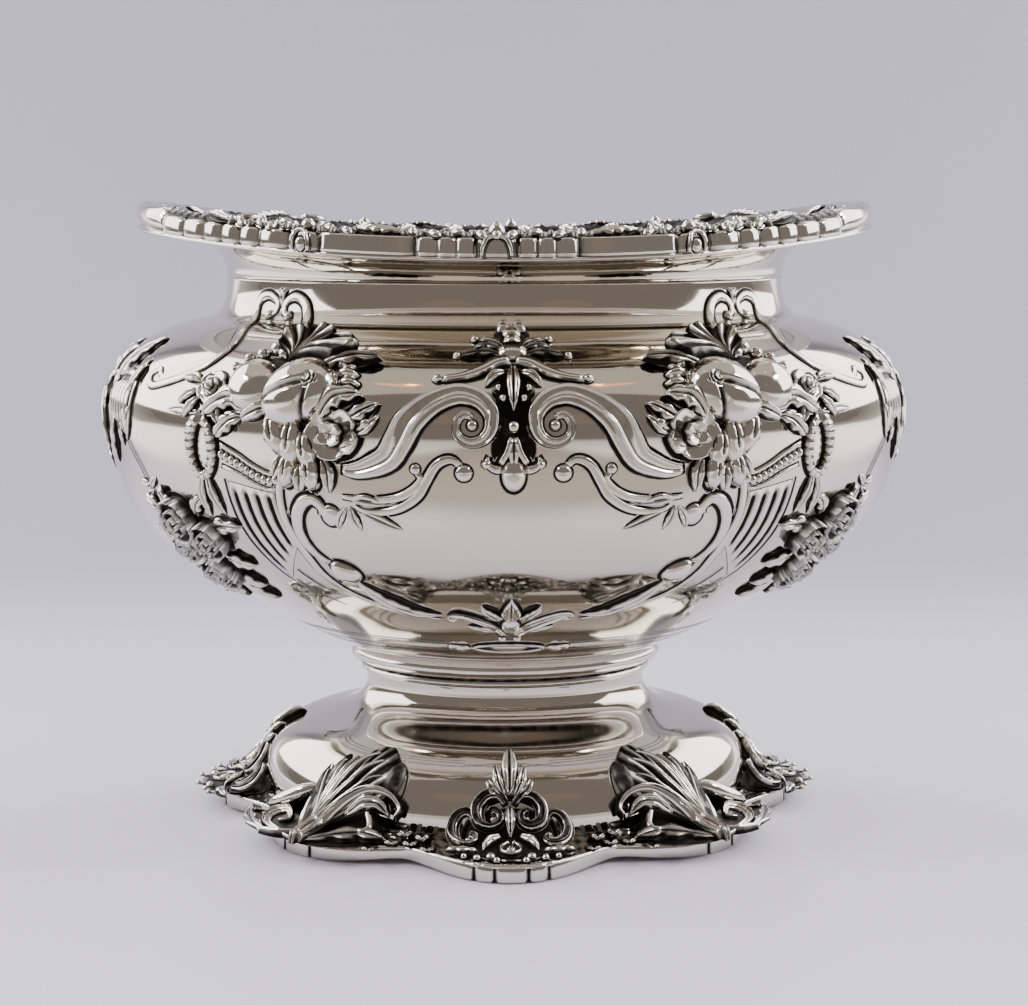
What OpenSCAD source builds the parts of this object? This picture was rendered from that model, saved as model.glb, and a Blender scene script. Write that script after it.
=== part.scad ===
// Oval silver sugar bowl on a lobed foot, with an everted scalloped rim and
// applied castings: fruit, scrolls, crests, pendants, roses, flutes, pediments,
// sprays, acanthus leaves and palmettes. Millimetres, Z up, the origin in the middle of the foot on
// the table, X along the long way of the oval and the front towards -Y.

/* [Bowl] */
// Widest width of the belly
belly_w = 133; // [115:1:150]
// How much narrower every oval is from front to back
oval_diff = 16; // [4:1:20]
// Height of the widest place
belly_z = 69; // [62:1:74]
// Width of the neck
neck_w = 92.8; // [80:1:105]
// Height where the shoulder turns into the neck
shoulder_z = 83.9; // [80:0.5:87]
// Height where the flange starts
neck_z = 90.5; // [89:0.5:93]
// Width of the flat bottom of the bowl
base_w = 54; // [52:1:60]
// Thickness of the sheet silver
wall = 1.1; // [0.8:0.1:1.5]

/* [Rim] */
// Width of the rim over its scallops
rim_w = 122.4; // [112:1:130]
// Mean height of the under side of the rim
rim_z = 97.2; // [95:0.2:101]
// How much lower the rim is at front and back than at its ends
rim_dip = 4.4; // [0:0.2:6]
// Width of the cast border
border_w = 7; // [5:0.2:9]
// Height of the plain band of the border
band_h = 3.4; // [2.6:0.1:4.2]
// Number of scallops and leaves that go round the rim
scallops = 72; // [56:4:80]
// Depth of one scallop
scallop = 0.7; // [0.2:0.1:1.2]
// Angle from the front where a row of deep scallops starts
gadroon_from = 28; // [20:1:34]
// Angle from the front where that row ends and the plain end begins
gadroon_to = 51; // [44:1:60]
// Height of the leaves of the garland on top of the rim
garland_h = 1.3; // [0.6:0.1:2]

/* [Foot] */
// Width over the tips of the foot
foot_w = 99.6; // [90:1:108]
// Height of the foot up to the collar
foot_h = 23.3; // [20:0.5:27]
// Height of the collar ring
collar_h = 4.6; // [3.6:0.2:6]
// Width of the collar at its narrowest
collar_w = 48; // [44:1:50]
// Least width of the border between the dome and the lobed edge
border_gap = 0.4; // [0.2:0.1:2]
// Height of the border above the edge band
skirt_h = 1; // [0.8:0.1:2]
// Height of the plain edge band that rests on the table
rail_h = 2.4; // [1.6:0.1:3.2]
// Depth of the hollows between the lobes, as a share of the radius
lobe_depth = 0.14; // [0.06:0.01:0.18]

/* [Castings] */
// Width of a bunch of fruit
fruit_w = 23; // [18:1:26]
// Relief of the fruit above the belly
fruit_relief = 4.6; // [3:0.1:6]
// Reach of a scroll from the middle of the panel
scroll_w = 21; // [17:0.5:24]
// Relief of the scrolls
scroll_relief = 1.8; // [1.2:0.1:2.6]
// Width of the scroll straps
strap_w = 3.4; // [2.4:0.1:3.8]
// Height of the crests
crest_h = 17; // [12:1:18]
// Height of the pendants
pendant_h = 22; // [16:1:26]
// Width of a group of roses
rose_w = 16; // [12:1:18]
// Relief of crests, pendants and roses
trim_relief = 2.2; // [1.4:0.1:3]
// Width of a fan of flutes at its top
flute_w = 9; // [7:0.5:10]
// Length of the shortest flute
flute_h = 9; // [7:0.5:11]
// Number of flutes in a fan
flute_n = 4; // [3:1:6]
// Relief of the ribs between the flutes
flute_relief = 0.5; // [0.3:0.1:0.9]
// Width of the strap of a pediment
pediment_w = 1.6; // [1.2:0.1:2.2]
// Relief of the pediments
pediment_relief = 0.6; // [0.3:0.1:1]
// Width of the leaf spray under a panel
spray_w = 18; // [14:1:20]
// Height of the leaf spray under a panel
spray_h = 11; // [8:0.5:12]
// Relief of the leaf sprays
spray_relief = 1.1; // [0.6:0.1:1.6]
// Width of a leaf on the foot
leaf_w = 20; // [14:1:22]
// Width of a palmette on the foot
palmette_w = 17; // [12:1:18]
// Height of the leaves and palmettes on the foot
leaf_h = 10.6; // [8:0.2:12]
// Relief of the leaves and palmettes on the foot
leaf_relief = 2; // [1.2:0.1:2.6]

/* [Hidden] */
silver = "Silver";
// Half widths and heights where the stacked pieces meet
belly_a = belly_w / 2;
neck_a = neck_w / 2;
base_a = base_w / 2;
rim_a = rim_w / 2;
foot_a = foot_w / 2;
collar_a = collar_w / 2;
dome_a = foot_a * (1 - lobe_depth) - border_gap;
flange_a = rim_a - scallop - border_w * 0.37;
shoulder_a = neck_a + 2.8;
skirt_z = rail_h + skirt_h;
bowl_z = foot_h + collar_h;
// Each oval is drawn from four centres, all at this distance from the axis
centre = oval_diff / 2 / (2 - sqrt(2));
edge_t = wall + 0.1;
around_foot = 96;

// Points of a cubic curve between its two ends
function curve(p, n) = [for (i = [0 : n]) let (t = i / n)
    pow(1 - t, 3) * p[0] + 3 * pow(1 - t, 2) * t * p[1]
    + 3 * (1 - t) * t * t * p[2] + pow(t, 3) * p[3]];
function blend(p, q, s) = p * (1 - s) + q * s;

// Outline of the bowl from its bottom to the neck
belly = concat(
    curve([[base_a, bowl_z],
        [blend(base_a, belly_a, 0.71), blend(bowl_z, belly_z, 0.38)],
        [belly_a, blend(bowl_z, belly_z, 0.51)], [belly_a, belly_z]], 14),
    curve([[belly_a, belly_z], [belly_a, blend(belly_z, shoulder_z, 0.47)],
        [blend(shoulder_a, belly_a, 0.65), shoulder_z - 1.5], [shoulder_a, shoulder_z]], 12),
    curve([[shoulder_a, shoulder_z], [neck_a + 1, shoulder_z + 0.5],
        [neck_a, blend(shoulder_z, neck_z, 0.47)], [neck_a, neck_z]], 8));
// Distance along the outline of the bowl to each of its points, from the widest place
belly_run = let (step = [for (i = [1 : len(belly) - 1]) norm(belly[i] - belly[i - 1])])
    [for (i = 0, s = 0; i < len(belly); s = s + (i < len(step) ? step[i] : 0), i = i + 1) s];
belly_x = [for (i = [0 : len(belly) - 1]) [belly_run[i] - belly_run[14], belly[i].x]];
belly_y = [for (i = [0 : len(belly) - 1]) [belly_run[i] - belly_run[14], belly[i].y]];
function belly_at(s) = [lookup(s, belly_x), lookup(s, belly_y)];
// Distance along the outline from the widest place to the top of the neck
shoulder_run = belly_run[len(belly) - 1] - belly_run[14];
// Gap for the solder between the scrolls and the belly
solder = 0.1;
// Outline of the foot from the border to the collar
brow = [blend(collar_a, dome_a, 0.49), blend(skirt_z, foot_h, 0.62)];
foot = concat(
    curve([[dome_a, skirt_z], [dome_a, blend(skirt_z, foot_h, 0.26)],
        [blend(collar_a, dome_a, 0.92), brow.y - 1.6], brow], 10),
    curve([brow, brow + [-4.5, 1], [collar_a, brow.y + 2.7], [collar_a, foot_h]], 8));
// Under side of the flange from the neck to its edge
flange = curve([[neck_a, neck_z], [neck_a, blend(neck_z, rim_z, 0.58)],
    [blend(neck_a, flange_a, 0.32), blend(neck_z, rim_z, 0.82)], [flange_a, rim_z]], 4);

// Half width of an outline at one height, and how far its face leans upwards
function width_at(line, z) = lookup(z, [for (p = line) [p.y, p.x]]);
function lean(line, z) = atan2(width_at(line, z - 0.5) - width_at(line, z + 0.5), 1);

// Point of an oval of half width a, where its face looks t degrees round from the front
function on_oval(a, t, z) = abs(sin(t)) > abs(cos(t))
    ? [sign(sin(t)) * centre + (a - centre) * sin(t), -(a - centre) * cos(t), z]
    : let (r = a - centre + centre * sqrt(2)) [r * sin(t), sign(cos(t)) * centre - r * cos(t), z];
// Point that stands off the face of an outline
function on_face(line, t, z, off) = let (g = lean(line, z))
    on_oval(width_at(line, z) + off * cos(g), t, z + off * sin(g));
// Point that stands off the belly, t degrees round and s along its outline from the widest place
function on_belly(t, s, off) = let (p = belly_at(s), d = belly_at(s + 0.5) - belly_at(s - 0.5))
    on_oval(p.x + off * d.y / norm(d), t, p.y - off * d.x / norm(d));
// Boat-shaped rise of the rim towards its ends
function rise(t) = -rim_dip / 2 * cos(2 * t);
// Angle from the front or the back, from 0 to 90 degrees
function fold(t) = let (g = abs(t) % 180) min(g, 180 - g);
// Shares of the full depth of the scallops and of the full height of the garland
function gadroon(t) = let (g = fold(t)) g > gadroon_from && g < gadroon_to ? 1 : g < 11 ? 0.6 : 0.1;
function garland(t) = 1 - max(0, min(1, (fold(t) - gadroon_to + 3) / 6));
// Lobed edge of the foot: tips at front, back and ends, broad lobes between
function lobe(t) = let (c = (1 + cos(8 * t)) / 2, s = pow(sin(2 * t), 2))
    1 - lobe_depth * (1 - pow(c, 0.75)) - 0.035 * s * c;
function foot_edge(a, t, z) = lobe(t) * [a * sin(t), -(a - oval_diff * 0.19) * cos(t), 0] + [0, 0, z];

// Sweeps a section, drawn at half width, round the oval
module oval_sweep() {
    for (turn = [0, 180])
        rotate([0, 0, turn]) {
            translate([centre, 0, 0])
                rotate([0, 0, -45])
                    rotate_extrude(angle = 90, $fn = 180)
                        translate([-centre, 0])
                            children();
            translate([0, -centre, 0])
                rotate([0, 0, 45])
                    rotate_extrude(angle = 90, $fn = 180)
                        translate([centre * (sqrt(2) - 1), 0])
                            children();
        }
}

// Flat oval of half width a
module oval_plate(a) {
    end_r = a - centre;
    side_r = end_r + centre * sqrt(2);
    reach = centre + end_r * cos(45);
    for (s = [-1, 1])
        translate([s * centre, 0])
            circle(end_r, $fn = 180);
    intersection() {
        translate([0, centre])
            circle(side_r, $fn = 180);
        translate([0, -centre])
            circle(side_r, $fn = 180);
        square([2 * reach, 2 * a], center = true);
    }
}

// Sheet of even thickness inside an outline, open at the top and, with a floor
// of 0, at the bottom
module sheet(line, low, high, inner, floor) {
    intersection() {
        difference() {
            drawn(line, floor);
            offset(delta = -wall)
                drawn(line, floor);
        }
        translate([inner, low])
            square([belly_w, high - low]);
    }
}

module drawn(line, floor) {
    over = 4 * wall;
    first = line[0] - [0, (1 - floor) * over];
    last = line[len(line) - 1] + [0, over];
    polygon(concat([[-over, first.y], first], line, [last, [-over, last.y]]));
}

// Closed ring through one section at every angle
module ring(sections) {
    n = len(sections);
    m = len(sections[0]);
    polyhedron(
        points = [for (s = sections) each s],
        faces = [for (i = [0 : n - 1]) for (j = [0 : m - 1])
            let (k = (i + 1) % n, l = (j + 1) % m)
            each [[i * m + j, i * m + l, k * m + l], [i * m + j, k * m + l, k * m + j]]],
        convexity = 6);
}

// Bar through one section after another, closed at both ends
module bar(sections) {
    n = len(sections);
    m = len(sections[0]);
    polyhedron(
        points = [for (s = sections) each s],
        faces = concat(
            [for (i = [0 : n - 2]) for (j = [0 : m - 1])
                let (l = (j + 1) % m, a = i * m, b = a + m)
                each [[a + j, a + l, b + l], [a + j, b + l, b + j]]],
            [[for (j = [m - 1 : -1 : 0]) j], [for (j = [0 : m - 1]) (n - 1) * m + j]]),
        convexity = 8);
}

// Casting with a raised face and a back that follows the sheet. The faces fan
// out from a middle point; rim and relief are functions of the angle and radius.
module boss(line, t, z, rim, relief, around, rings) {
    tilt = cos(lean(line, z));
    girth = 57.3 / (width_at(line, z) - centre + (abs(sin(t)) > abs(cos(t)) ? 0 : centre * sqrt(2)));
    spots = concat([[0, 0, 0]], [for (j = [1 : rings]) for (i = [0 : around - 1])
        let (g = i * 360 / around, r = rim(g) * j / rings) [r * cos(g), r * sin(g), j / rings]]);
    n = len(spots);
    top = [for (s = spots) let (high = max(0.35, relief(s.x, s.y, s.z)))
        on_face(line, t + s.x * girth, z + s.y * tilt, high)];
    back = [for (s = spots) on_face(line, t + s.x * girth, z + s.y * tilt, 0)];
    inside = [for (i = [0 : around - 1]) let (k = (i + 1) % around)
        each concat([[0, k + 1, i + 1]], [for (j = [0 : rings - 2]) let (a = j * around + 1, b = a + around)
            each [[a + i, a + k, b + k], [a + i, b + k, b + i]]])];
    edge = n - around;
    polyhedron(
        points = concat(top, back),
        faces = concat(inside, [for (f = inside) [f[2] + n, f[1] + n, f[0] + n]],
            [for (i = [0 : around - 1]) let (k = (i + 1) % around, a = edge + i, b = edge + k)
                each [[a, b, b + n], [a, b + n, a + n]]]),
        convexity = 8);
}

module bowl_body() {
    inner = base_a - 6;
    color(silver) {
        oval_sweep()
            sheet(belly, bowl_z, neck_z, inner, 1);
        translate([0, 0, bowl_z])
            linear_extrude(wall)
                oval_plate(inner);
    }
}

module rim_flange() {
    last = len(flange) - 1;
    color(silver)
        ring([for (i = [0 : scallops - 1]) let (t = i * 360 / scallops) concat(
            [for (j = [0 : last]) let (p = flange[j], s = j / last)
                on_oval(p.x, t, p.y + rise(t) * s)],
            [for (j = [last : -1 : 0]) let (p = flange[j], s = j / last)
                on_oval(p.x - wall * (1 - s), t, p.y + s * edge_t + rise(t) * s)])]);
}

// Cast border that caps the edge of the flange: a band with scallops, and a
// garland whose leaves point out and in by turns. It has two steps for each
// one of the flange, and the odd steps are seated half way along its chords.
module rim_border() {
    steps = 2 * scallops;
    inner = flange[3];
    step = 360 / steps;
    seat = function(i, f) i % 2 == 0 ? f(i * step) : (f((i - 1) * step) + f((i + 1) * step)) / 2;
    color(silver)
        ring([for (i = [0 : steps - 1])
            let (t = i * step, odd = i % 2, g = garland(t), low = rim_z + rise(t) - 0.8)
            let (over = low + band_h + 0.9 * (1 - g), out = rim_a - scallop * odd * gadroon(t))
            [seat(i, function(t) on_oval(flange_a, t, rim_z + rise(t) - 0.8)),
            on_oval(out - 0.7, t, low - 0.2),
            on_oval(out, t, low + band_h * 0.55),
            on_oval(out - 0.8, t, over - 0.2),
            on_oval(rim_a - 2, t, over + 0.2 + garland_h * g * (1 - odd)),
            on_oval(flange_a, t, over + 0.4 * g + garland_h * g * odd),
            on_oval(inner.x + 2.4, t, low + 2.1),
            seat(i, function(t) on_oval(inner.x - wall * 0.25, t, inner.y + (edge_t + rise(t)) * 0.75)),
            seat(i, function(t) on_oval(flange_a, t, rim_z + edge_t + rise(t)))]]);
}

// Beaded ring between bowl and foot
module collar_ring() {
    bead = collar_h * 0.35;
    color(silver)
        oval_sweep() {
            translate([collar_a - 2 * wall, foot_h])
                square([2 * wall + 0.7, collar_h]);
            translate([collar_a - 2 * wall, bowl_z - 1.4 * bead])
                square([max(2 * wall, base_a - 0.4 - bead - collar_a + 2 * wall), 1.4 * bead]);
            translate([base_a - 0.4 - bead, bowl_z - bead])
                circle(bead, $fn = 48);
        }
}

module foot_dome() {
    color(silver)
        oval_sweep()
            sheet(foot, skirt_z, foot_h, centre + wall, 0);
}

// Cast border from the dome out to the lobed edge
module foot_skirt() {
    low = rail_h + 0.6;
    color(silver)
        ring([for (i = [0 : around_foot - 1])
            let (t = i * 360 / around_foot, p = on_oval(dome_a, t, 0), q = foot_edge(foot_a - 0.5, t, 0))
            concat(
                [on_oval(dome_a - 2 * wall, t, rail_h), on_oval(dome_a - 2 * wall, t, skirt_z)],
                [for (s = [0 : 0.5 : 1]) blend(p, q, s) + [0, 0, low + (skirt_z - low) * pow(1 - s, 2)]],
                [q + [0, 0, rail_h]])]);
}

// Plain lobed band on which the bowl stands
module foot_rail() {
    color(silver)
        linear_extrude(rail_h)
            difference() {
                polygon([for (i = [0 : around_foot - 1])
                    let (p = foot_edge(foot_a, i * 360 / around_foot, 0)) [p.x, p.y]]);
                polygon([for (i = [0 : around_foot - 1])
                    let (p = on_oval(dome_a - wall, i * 360 / around_foot, 0)) [p.x, p.y]]);
            }
}

// Height of a rounded lump of radius r at (x, y)
function lump(x, y, p, r, high) = let (d = norm([x, y] - p) / r) d < 1 ? high * sqrt(1 - d * d) : 0;

// Bunch of fruit with leaf tips round it
module fruit(t, side) {
    f = fruit_w / 20;
    color(silver)
        boss(belly, t, belly_z + 3,
            function(g) f * (8.4 + 1.6 * cos(g * 9) + 1.4 * cos(2 * g)),
            function(x, y, s) max(
                lump(x, y, f * [side, 2], f * 5.4, fruit_relief),
                lump(x, y, f * [side * 6.4, 3.5], f * 3.4, fruit_relief * 0.8),
                lump(x, y, f * [side * 4.6, -3.4], f * 3.2, fruit_relief * 0.75),
                lump(x, y, f * [-side * 4.6, -2.6], f * 3, fruit_relief * 0.7),
                lump(x, y, f * [-side * 5.6, 4], f * 2.6, fruit_relief * 0.6),
                lump(x, y, f * [0, -6.4], f * 2.6, fruit_relief * 0.6),
                1.5 - 1.1 * s),
            28, 5);
}

module fruit_front_left() fruit(-25, -1);
module fruit_front_right() fruit(25, 1);
module fruit_back_left() fruit(205, 1);
module fruit_back_right() fruit(155, -1);

// Strap that runs along the panel and curls into a volute
module scroll(t, side) {
    girth = 57.3 / (belly_a + centre * (sqrt(2) - 1));
    f = scroll_w / 19.5;
    run = [for (s = [0 : 0.2 : 1]) [19.5 - 12.5 * s, -7.2 + 12.4 * s * s * (3 - 2 * s)]];
    curl = [for (i = [0 : 8]) let (g = 110 - i * 45, r = 5.2 - i * 0.42) [5.3 + r * cos(g), r * sin(g)]];
    path = f * concat(run, curl);
    last = len(path) - 1;
    color(silver)
        bar([for (i = [0 : last])
            let (d = path[min(i + 1, last)] - path[max(i - 1, 0)], n = [-d.y, d.x] / norm(d))
            let (w = strap_w / 2 * (i > 5 ? 1 - (i - 5) * 0.075 : 1))
            let (section = [[-1, 0], [-1, 0.5], [0, 1], [1, 0.5], [1, 0]])
            [for (k = [0 : 4]) let (j = side > 0 ? k : 4 - k, q = path[i] + n * w * section[j].x)
                on_face(belly, t + side * q.x * girth, belly_z + 2.4 + q.y,
                    solder + section[j].y * scroll_relief)]]);
}

module scroll_front_left() scroll(0, -1);
module scroll_front_right() scroll(0, 1);
module scroll_back_left() scroll(180, 1);
module scroll_back_right() scroll(180, -1);

// Upright casting of lobed outline: w wide, h high, with ribs that fan out from its foot
module fan(line, t, z, w, h, lobes, high, around) {
    color(silver)
        boss(line, t, z,
            function(g) (0.86 + 0.14 * cos((g - 90) * lobes))
                / pow(pow(abs(cos(g)) * 2 / w, 1.5) + pow(abs(sin(g)) * 2 / h, 1.5), 1 / 1.5),
            function(x, y, s) high * (1 - 0.65 * s)
                + 0.16 * high * cos(atan2(y + h / 2, x) * lobes - 90 * lobes),
            around, 3);
}

// Leaves and husk between the scrolls
module crest(t) fan(belly, t, belly_z + 3.4, crest_h * 0.6, crest_h, 9, trim_relief, 24);

module crest_front() crest(0);
module crest_back() crest(180);

// Palmette hanging on the end of the oval
module pendant(t) fan(belly, t, belly_z - 1.5, pendant_h * 0.7, pendant_h, 9, trim_relief, 36);

module pendant_left() pendant(-90);
module pendant_right() pendant(90);

// Height of a rose of radius r, with rings of petals, at (x, y)
function rose(x, y, p, r) = lump(x, y, p, r, trim_relief) + 0.25 * cos(norm([x, y] - p) * 180);

// Three roses low on the belly
module roses(t, side) {
    f = rose_w / 13;
    color(silver)
        boss(belly, t, belly_z - 17,
            function(g) f * (5.8 + 1.1 * cos(g * 3 + 90) + 0.5 * cos(g * 12)),
            function(x, y, s) max(
                rose(x, y, f * [0, 3.2], f * 3.2),
                rose(x, y, f * [3.2, -2.4], f * 2.9),
                rose(x, y, f * [-3.2, -2.4], f * 2.9),
                0.9 - 0.5 * s),
            26, 4);
}

module roses_front_left() roses(-52, -1);
module roses_front_right() roses(52, 1);
module roses_back_left() roses(232, 1);
module roses_back_right() roses(128, -1);

// Casting laid on the belly: spot(u, v) gives degrees, distance along the outline and relief
module laid(nu, nv, side, spot) {
    at = [for (j = [0 : nv]) for (i = [0 : nu]) spot((side > 0 ? i : nu - i) / nu, j / nv)];
    n = len(at);
    w = nu + 1;
    face = [for (j = [0 : nv - 1]) for (i = [0 : nu - 1]) let (a = j * w + i)
        each [[a, a + w, a + w + 1], [a, a + w + 1, a + 1]]];
    edge = concat([for (i = [0 : nu]) i], [for (j = [1 : nv]) j * w + nu],
        [for (i = [nu - 1 : -1 : 0]) nv * w + i], [for (j = [nv - 1 : -1 : 1]) j * w]);
    polyhedron(
        points = concat([for (p = at) on_belly(p.x, p.y, p.z)], [for (p = at) on_belly(p.x, p.y, 0)]),
        faces = concat([for (f = face) [f[2], f[1], f[0]]], [for (f = face) f + [n, n, n]],
            [for (i = [0 : len(edge) - 1]) let (a = edge[i], b = edge[(i + 1) % len(edge)])
                each [[b, a, a + n], [b, a + n, b + n]]]),
        convexity = 8);
}

// Fan of flutes beside the panel, longer and lower on its outer side
module flutes(t, side) {
    girth = 57.3 / (belly_a + centre * (sqrt(2) - 1));
    color(silver)
        laid(2 * flute_n, 3, side, function(u, v)
            [t + side * (32.5 - 2.9 * v + (u - 0.5) * girth * flute_w * (1 - 0.42 * v)),
            1.4 * u - 8.6 - flute_h * v * (1 + 1.05 * u),
            flute_relief * (round(u * 2 * flute_n) % 2 == 0 ? 1 : 0.3)]);
}

module flutes_front_left() flutes(0, -1);
module flutes_front_right() flutes(0, 1);
module flutes_back_left() flutes(180, 1);
module flutes_back_right() flutes(180, -1);

// Strap like half a broken pediment, from a curl under the neck down the shoulder. Its path
// is drawn in degrees round the oval and in shares of the way up from the widest place.
module pediment(t, side) {
    spots = [[46, 0.847], [46.4, 0.903], [49, 0.927], [51.2, 0.878], [50.4, 0.780], [47.4, 0.688],
        [44, 0.577], [42, 0.473], [42.2, 0.375], [44.6, 0.289], [48.6, 0.227], [54, 0.190]];
    path = [for (p = spots) [p.x, p.y * shoulder_run]];
    last = len(path) - 1;
    girth = 57.3 / belly_a;
    color(silver)
        bar([for (i = [0 : last])
            let (d = path[min(i + 1, last)] - path[max(i - 1, 0)], m = [d.x / girth, d.y])
            let (n = [-m.y * girth, m.x] * pediment_w / 2 / norm(m))
            let (section = [[-1, 0], [-0.7, 1], [0.7, 1], [1, 0]])
            [for (k = [0 : 3]) let (j = side > 0 ? k : 3 - k, q = path[i] + n * section[j].x)
                on_belly(t + side * q.x, q.y, section[j].y * pediment_relief)]]);
}

module pediment_front_left() pediment(0, -1);
module pediment_front_right() pediment(0, 1);
module pediment_back_left() pediment(180, 1);
module pediment_back_right() pediment(180, -1);

// Spray of leaves that closes the panel at the bottom
module spray(t) fan(belly, t, belly_z - 29, spray_w, spray_h, 7, spray_relief, 18);

module spray_front() spray(0);
module spray_back() spray(180);

// Acanthus leaf on the side of the dome
module foot_leaf(t) fan(foot, t, skirt_z + leaf_h * 0.55, leaf_w, leaf_h, 11, leaf_relief, 26);

module foot_leaf_front_left() foot_leaf(-45);
module foot_leaf_front_right() foot_leaf(45);
module foot_leaf_back_left() foot_leaf(225);
module foot_leaf_back_right() foot_leaf(135);

// Palmette on the tips of the foot
module palmette(t) fan(foot, t, skirt_z + leaf_h * 0.55, palmette_w, leaf_h, 7, leaf_relief, 24);

module palmette_front() palmette(0);
module palmette_back() palmette(180);
module palmette_left() palmette(-90);
module palmette_right() palmette(90);

bowl_body();
rim_flange();
rim_border();
collar_ring();
foot_dome();
foot_skirt();
foot_rail();
fruit_front_left();
fruit_front_right();
fruit_back_left();
fruit_back_right();
scroll_front_left();
scroll_front_right();
scroll_back_left();
scroll_back_right();
crest_front();
crest_back();
pendant_left();
pendant_right();
roses_front_left();
roses_front_right();
roses_back_left();
roses_back_right();
flutes_front_left();
flutes_front_right();
flutes_back_left();
flutes_back_right();
pediment_front_left();
pediment_front_right();
pediment_back_left();
pediment_back_right();
spray_front();
spray_back();
foot_leaf_front_left();
foot_leaf_front_right();
foot_leaf_back_left();
foot_leaf_back_right();
palmette_front();
palmette_back();
palmette_left();
palmette_right();
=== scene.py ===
# %% [markdown]
# # A footed oval sugar bowl in silver
# The bowl was raised from sheet silver, polished, and dressed with castings:
# straps that curl into volutes, bunches of fruit, roses, leaves and palmettes.
# Here the sheet is spun from its outline and pressed into an oval, and the
# castings are modelled flat on a drawing board in millimetres and then wrapped
# round the sheet, much as a silversmith bends a casting before soldering it on.

# %% Load the CAD frame
from bisect import bisect
from math import atan2, cos, degrees, exp, hypot, pi, radians, sin, sqrt
import bmesh
import bpy
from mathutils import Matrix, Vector
from mathutils.geometry import interpolate_bezier


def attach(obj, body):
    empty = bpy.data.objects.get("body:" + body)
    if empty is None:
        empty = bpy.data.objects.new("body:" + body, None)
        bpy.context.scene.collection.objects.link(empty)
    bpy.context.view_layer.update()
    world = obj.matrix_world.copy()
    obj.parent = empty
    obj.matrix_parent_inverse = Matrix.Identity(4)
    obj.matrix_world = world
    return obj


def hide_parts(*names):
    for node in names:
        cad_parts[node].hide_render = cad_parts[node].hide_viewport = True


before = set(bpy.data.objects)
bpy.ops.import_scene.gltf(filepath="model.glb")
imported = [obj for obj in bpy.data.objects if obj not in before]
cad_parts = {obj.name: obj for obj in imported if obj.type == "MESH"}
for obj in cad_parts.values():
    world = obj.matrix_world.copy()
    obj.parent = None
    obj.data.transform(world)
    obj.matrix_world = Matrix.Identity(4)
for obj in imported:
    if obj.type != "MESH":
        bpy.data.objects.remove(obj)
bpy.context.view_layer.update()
MM = 0.001

# %% [markdown]
# ## Camera
# The photograph was taken from about a third of a metre, a little above the
# rim, with the long way of the oval across the picture. The focal length in
# pixels, divided by the picture's width, gives the lens for a 36 mm sensor.

# %% Camera
PICTURE_W, FOCAL_PX, SENSOR = 1028, 1976, 36
EYE_AWAY, EYE_UP = 335.0, 101.4  # mm from the bowl's axis, and above the table
EYE_TURN, EYE_PITCH, EYE_YAW = -1.2, 8.42, -0.26  # degrees
camera = bpy.data.objects.new("camera", bpy.data.cameras.new("camera"))
camera.data.sensor_fit = "HORIZONTAL"
camera.data.sensor_width = SENSOR
camera.data.lens = SENSOR * FOCAL_PX / PICTURE_W
camera.data.clip_start = 0.01
turn = radians(EYE_TURN)
camera.location = Vector((EYE_AWAY * sin(turn), -EYE_AWAY * cos(turn), EYE_UP)) * MM
camera.rotation_euler = (radians(90 - EYE_PITCH), 0, turn + radians(EYE_YAW))
bpy.context.collection.objects.link(camera)
bpy.context.scene.camera = camera
print("lens", round(camera.data.lens, 1), "mm")

# %% [markdown]
# ## Silver
# Silver is the whitest metal, a shade warm. Polished sheet mirrors the room
# with a faint softness from the buffing wheel, and hand raising leaves shallow
# waves that bend the reflections. Castings are a little duller, and the dark
# in their recesses is silver sulphide that polishing never reaches. Every
# casting carries a number on each vertex, `patina_and_shade`, from 0 for rubbed
# bright metal to 1 for the dark of a recess, and the material reads that number.
# The same number also carries painted shade: flat dark grounds round raised
# castings, the undersides of rose petals, and a painted dark reflection on the
# foot's border.

# %% Helpers for materials
def linear(code):
    """Colour of an sRGB hex code as linear RGBA."""
    parts = [int(code[i:i + 2], 16) / 255 for i in (1, 3, 5)]
    return [v / 12.92 if v <= 0.04045 else ((v + 0.055) / 1.055) ** 2.4 for v in parts] + [1]


def add(tree, kind, settings=(), links=()):
    """Adds a node, sets its properties and sockets, and links its inputs."""
    node = tree.nodes.new(kind)
    for key, value in dict(settings).items():
        if isinstance(key, str) and hasattr(node, key):
            setattr(node, key, value)
        else:
            node.inputs[key].default_value = value
    for key, source in dict(links).items():
        tree.links.new(source, node.inputs[key])
    return node


def new_material(name, settings):
    """Material with its Principled shader, and its coordinates in mm."""
    made = bpy.data.materials.new(name)
    made.use_nodes = True
    tree = made.node_tree
    tree.nodes.clear()
    shader = add(tree, "ShaderNodeBsdfPrincipled", settings)
    add(tree, "ShaderNodeOutputMaterial", {}, {"Surface": shader.outputs[0]})
    where = add(tree, "ShaderNodeTexCoord").outputs["Object"]
    place = add(tree, "ShaderNodeMapping", {"Scale": (1 / MM,) * 3}, {"Vector": where}).outputs[0]
    return made, tree, shader, place


def noise(tree, place, size, detail):
    """Value of a noise whose blobs are about size mm wide."""
    return add(tree, "ShaderNodeTexNoise", {"Scale": 1 / size, "Detail": detail}, {"Vector": place}).outputs["Fac"]


def ramp(tree, value, start, end):
    """Soft step from 0 to 1 as a value goes from start to end."""
    settings = {"interpolation_type": "SMOOTHSTEP", "From Min": start, "From Max": end}
    return add(tree, "ShaderNodeMapRange", settings, {"Value": value}).outputs[0]


def bumps(tree, shader, height, strength, depth):
    """Bends the shader's normal by a height that spans depth mm."""
    bump = add(tree, "ShaderNodeBump", {"Strength": strength, "Distance": depth * MM}, {"Height": height})
    tree.links.new(bump.outputs[0], shader.inputs["Normal"])


def roughness(tree, shader, value, low, high):
    """Runs the roughness from low to high as a value goes from 0 to 1."""
    rough = add(tree, "ShaderNodeMapRange", {"To Min": low, "To Max": high}, {"Value": value})
    tree.links.new(rough.outputs[0], shader.inputs["Roughness"])


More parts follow.
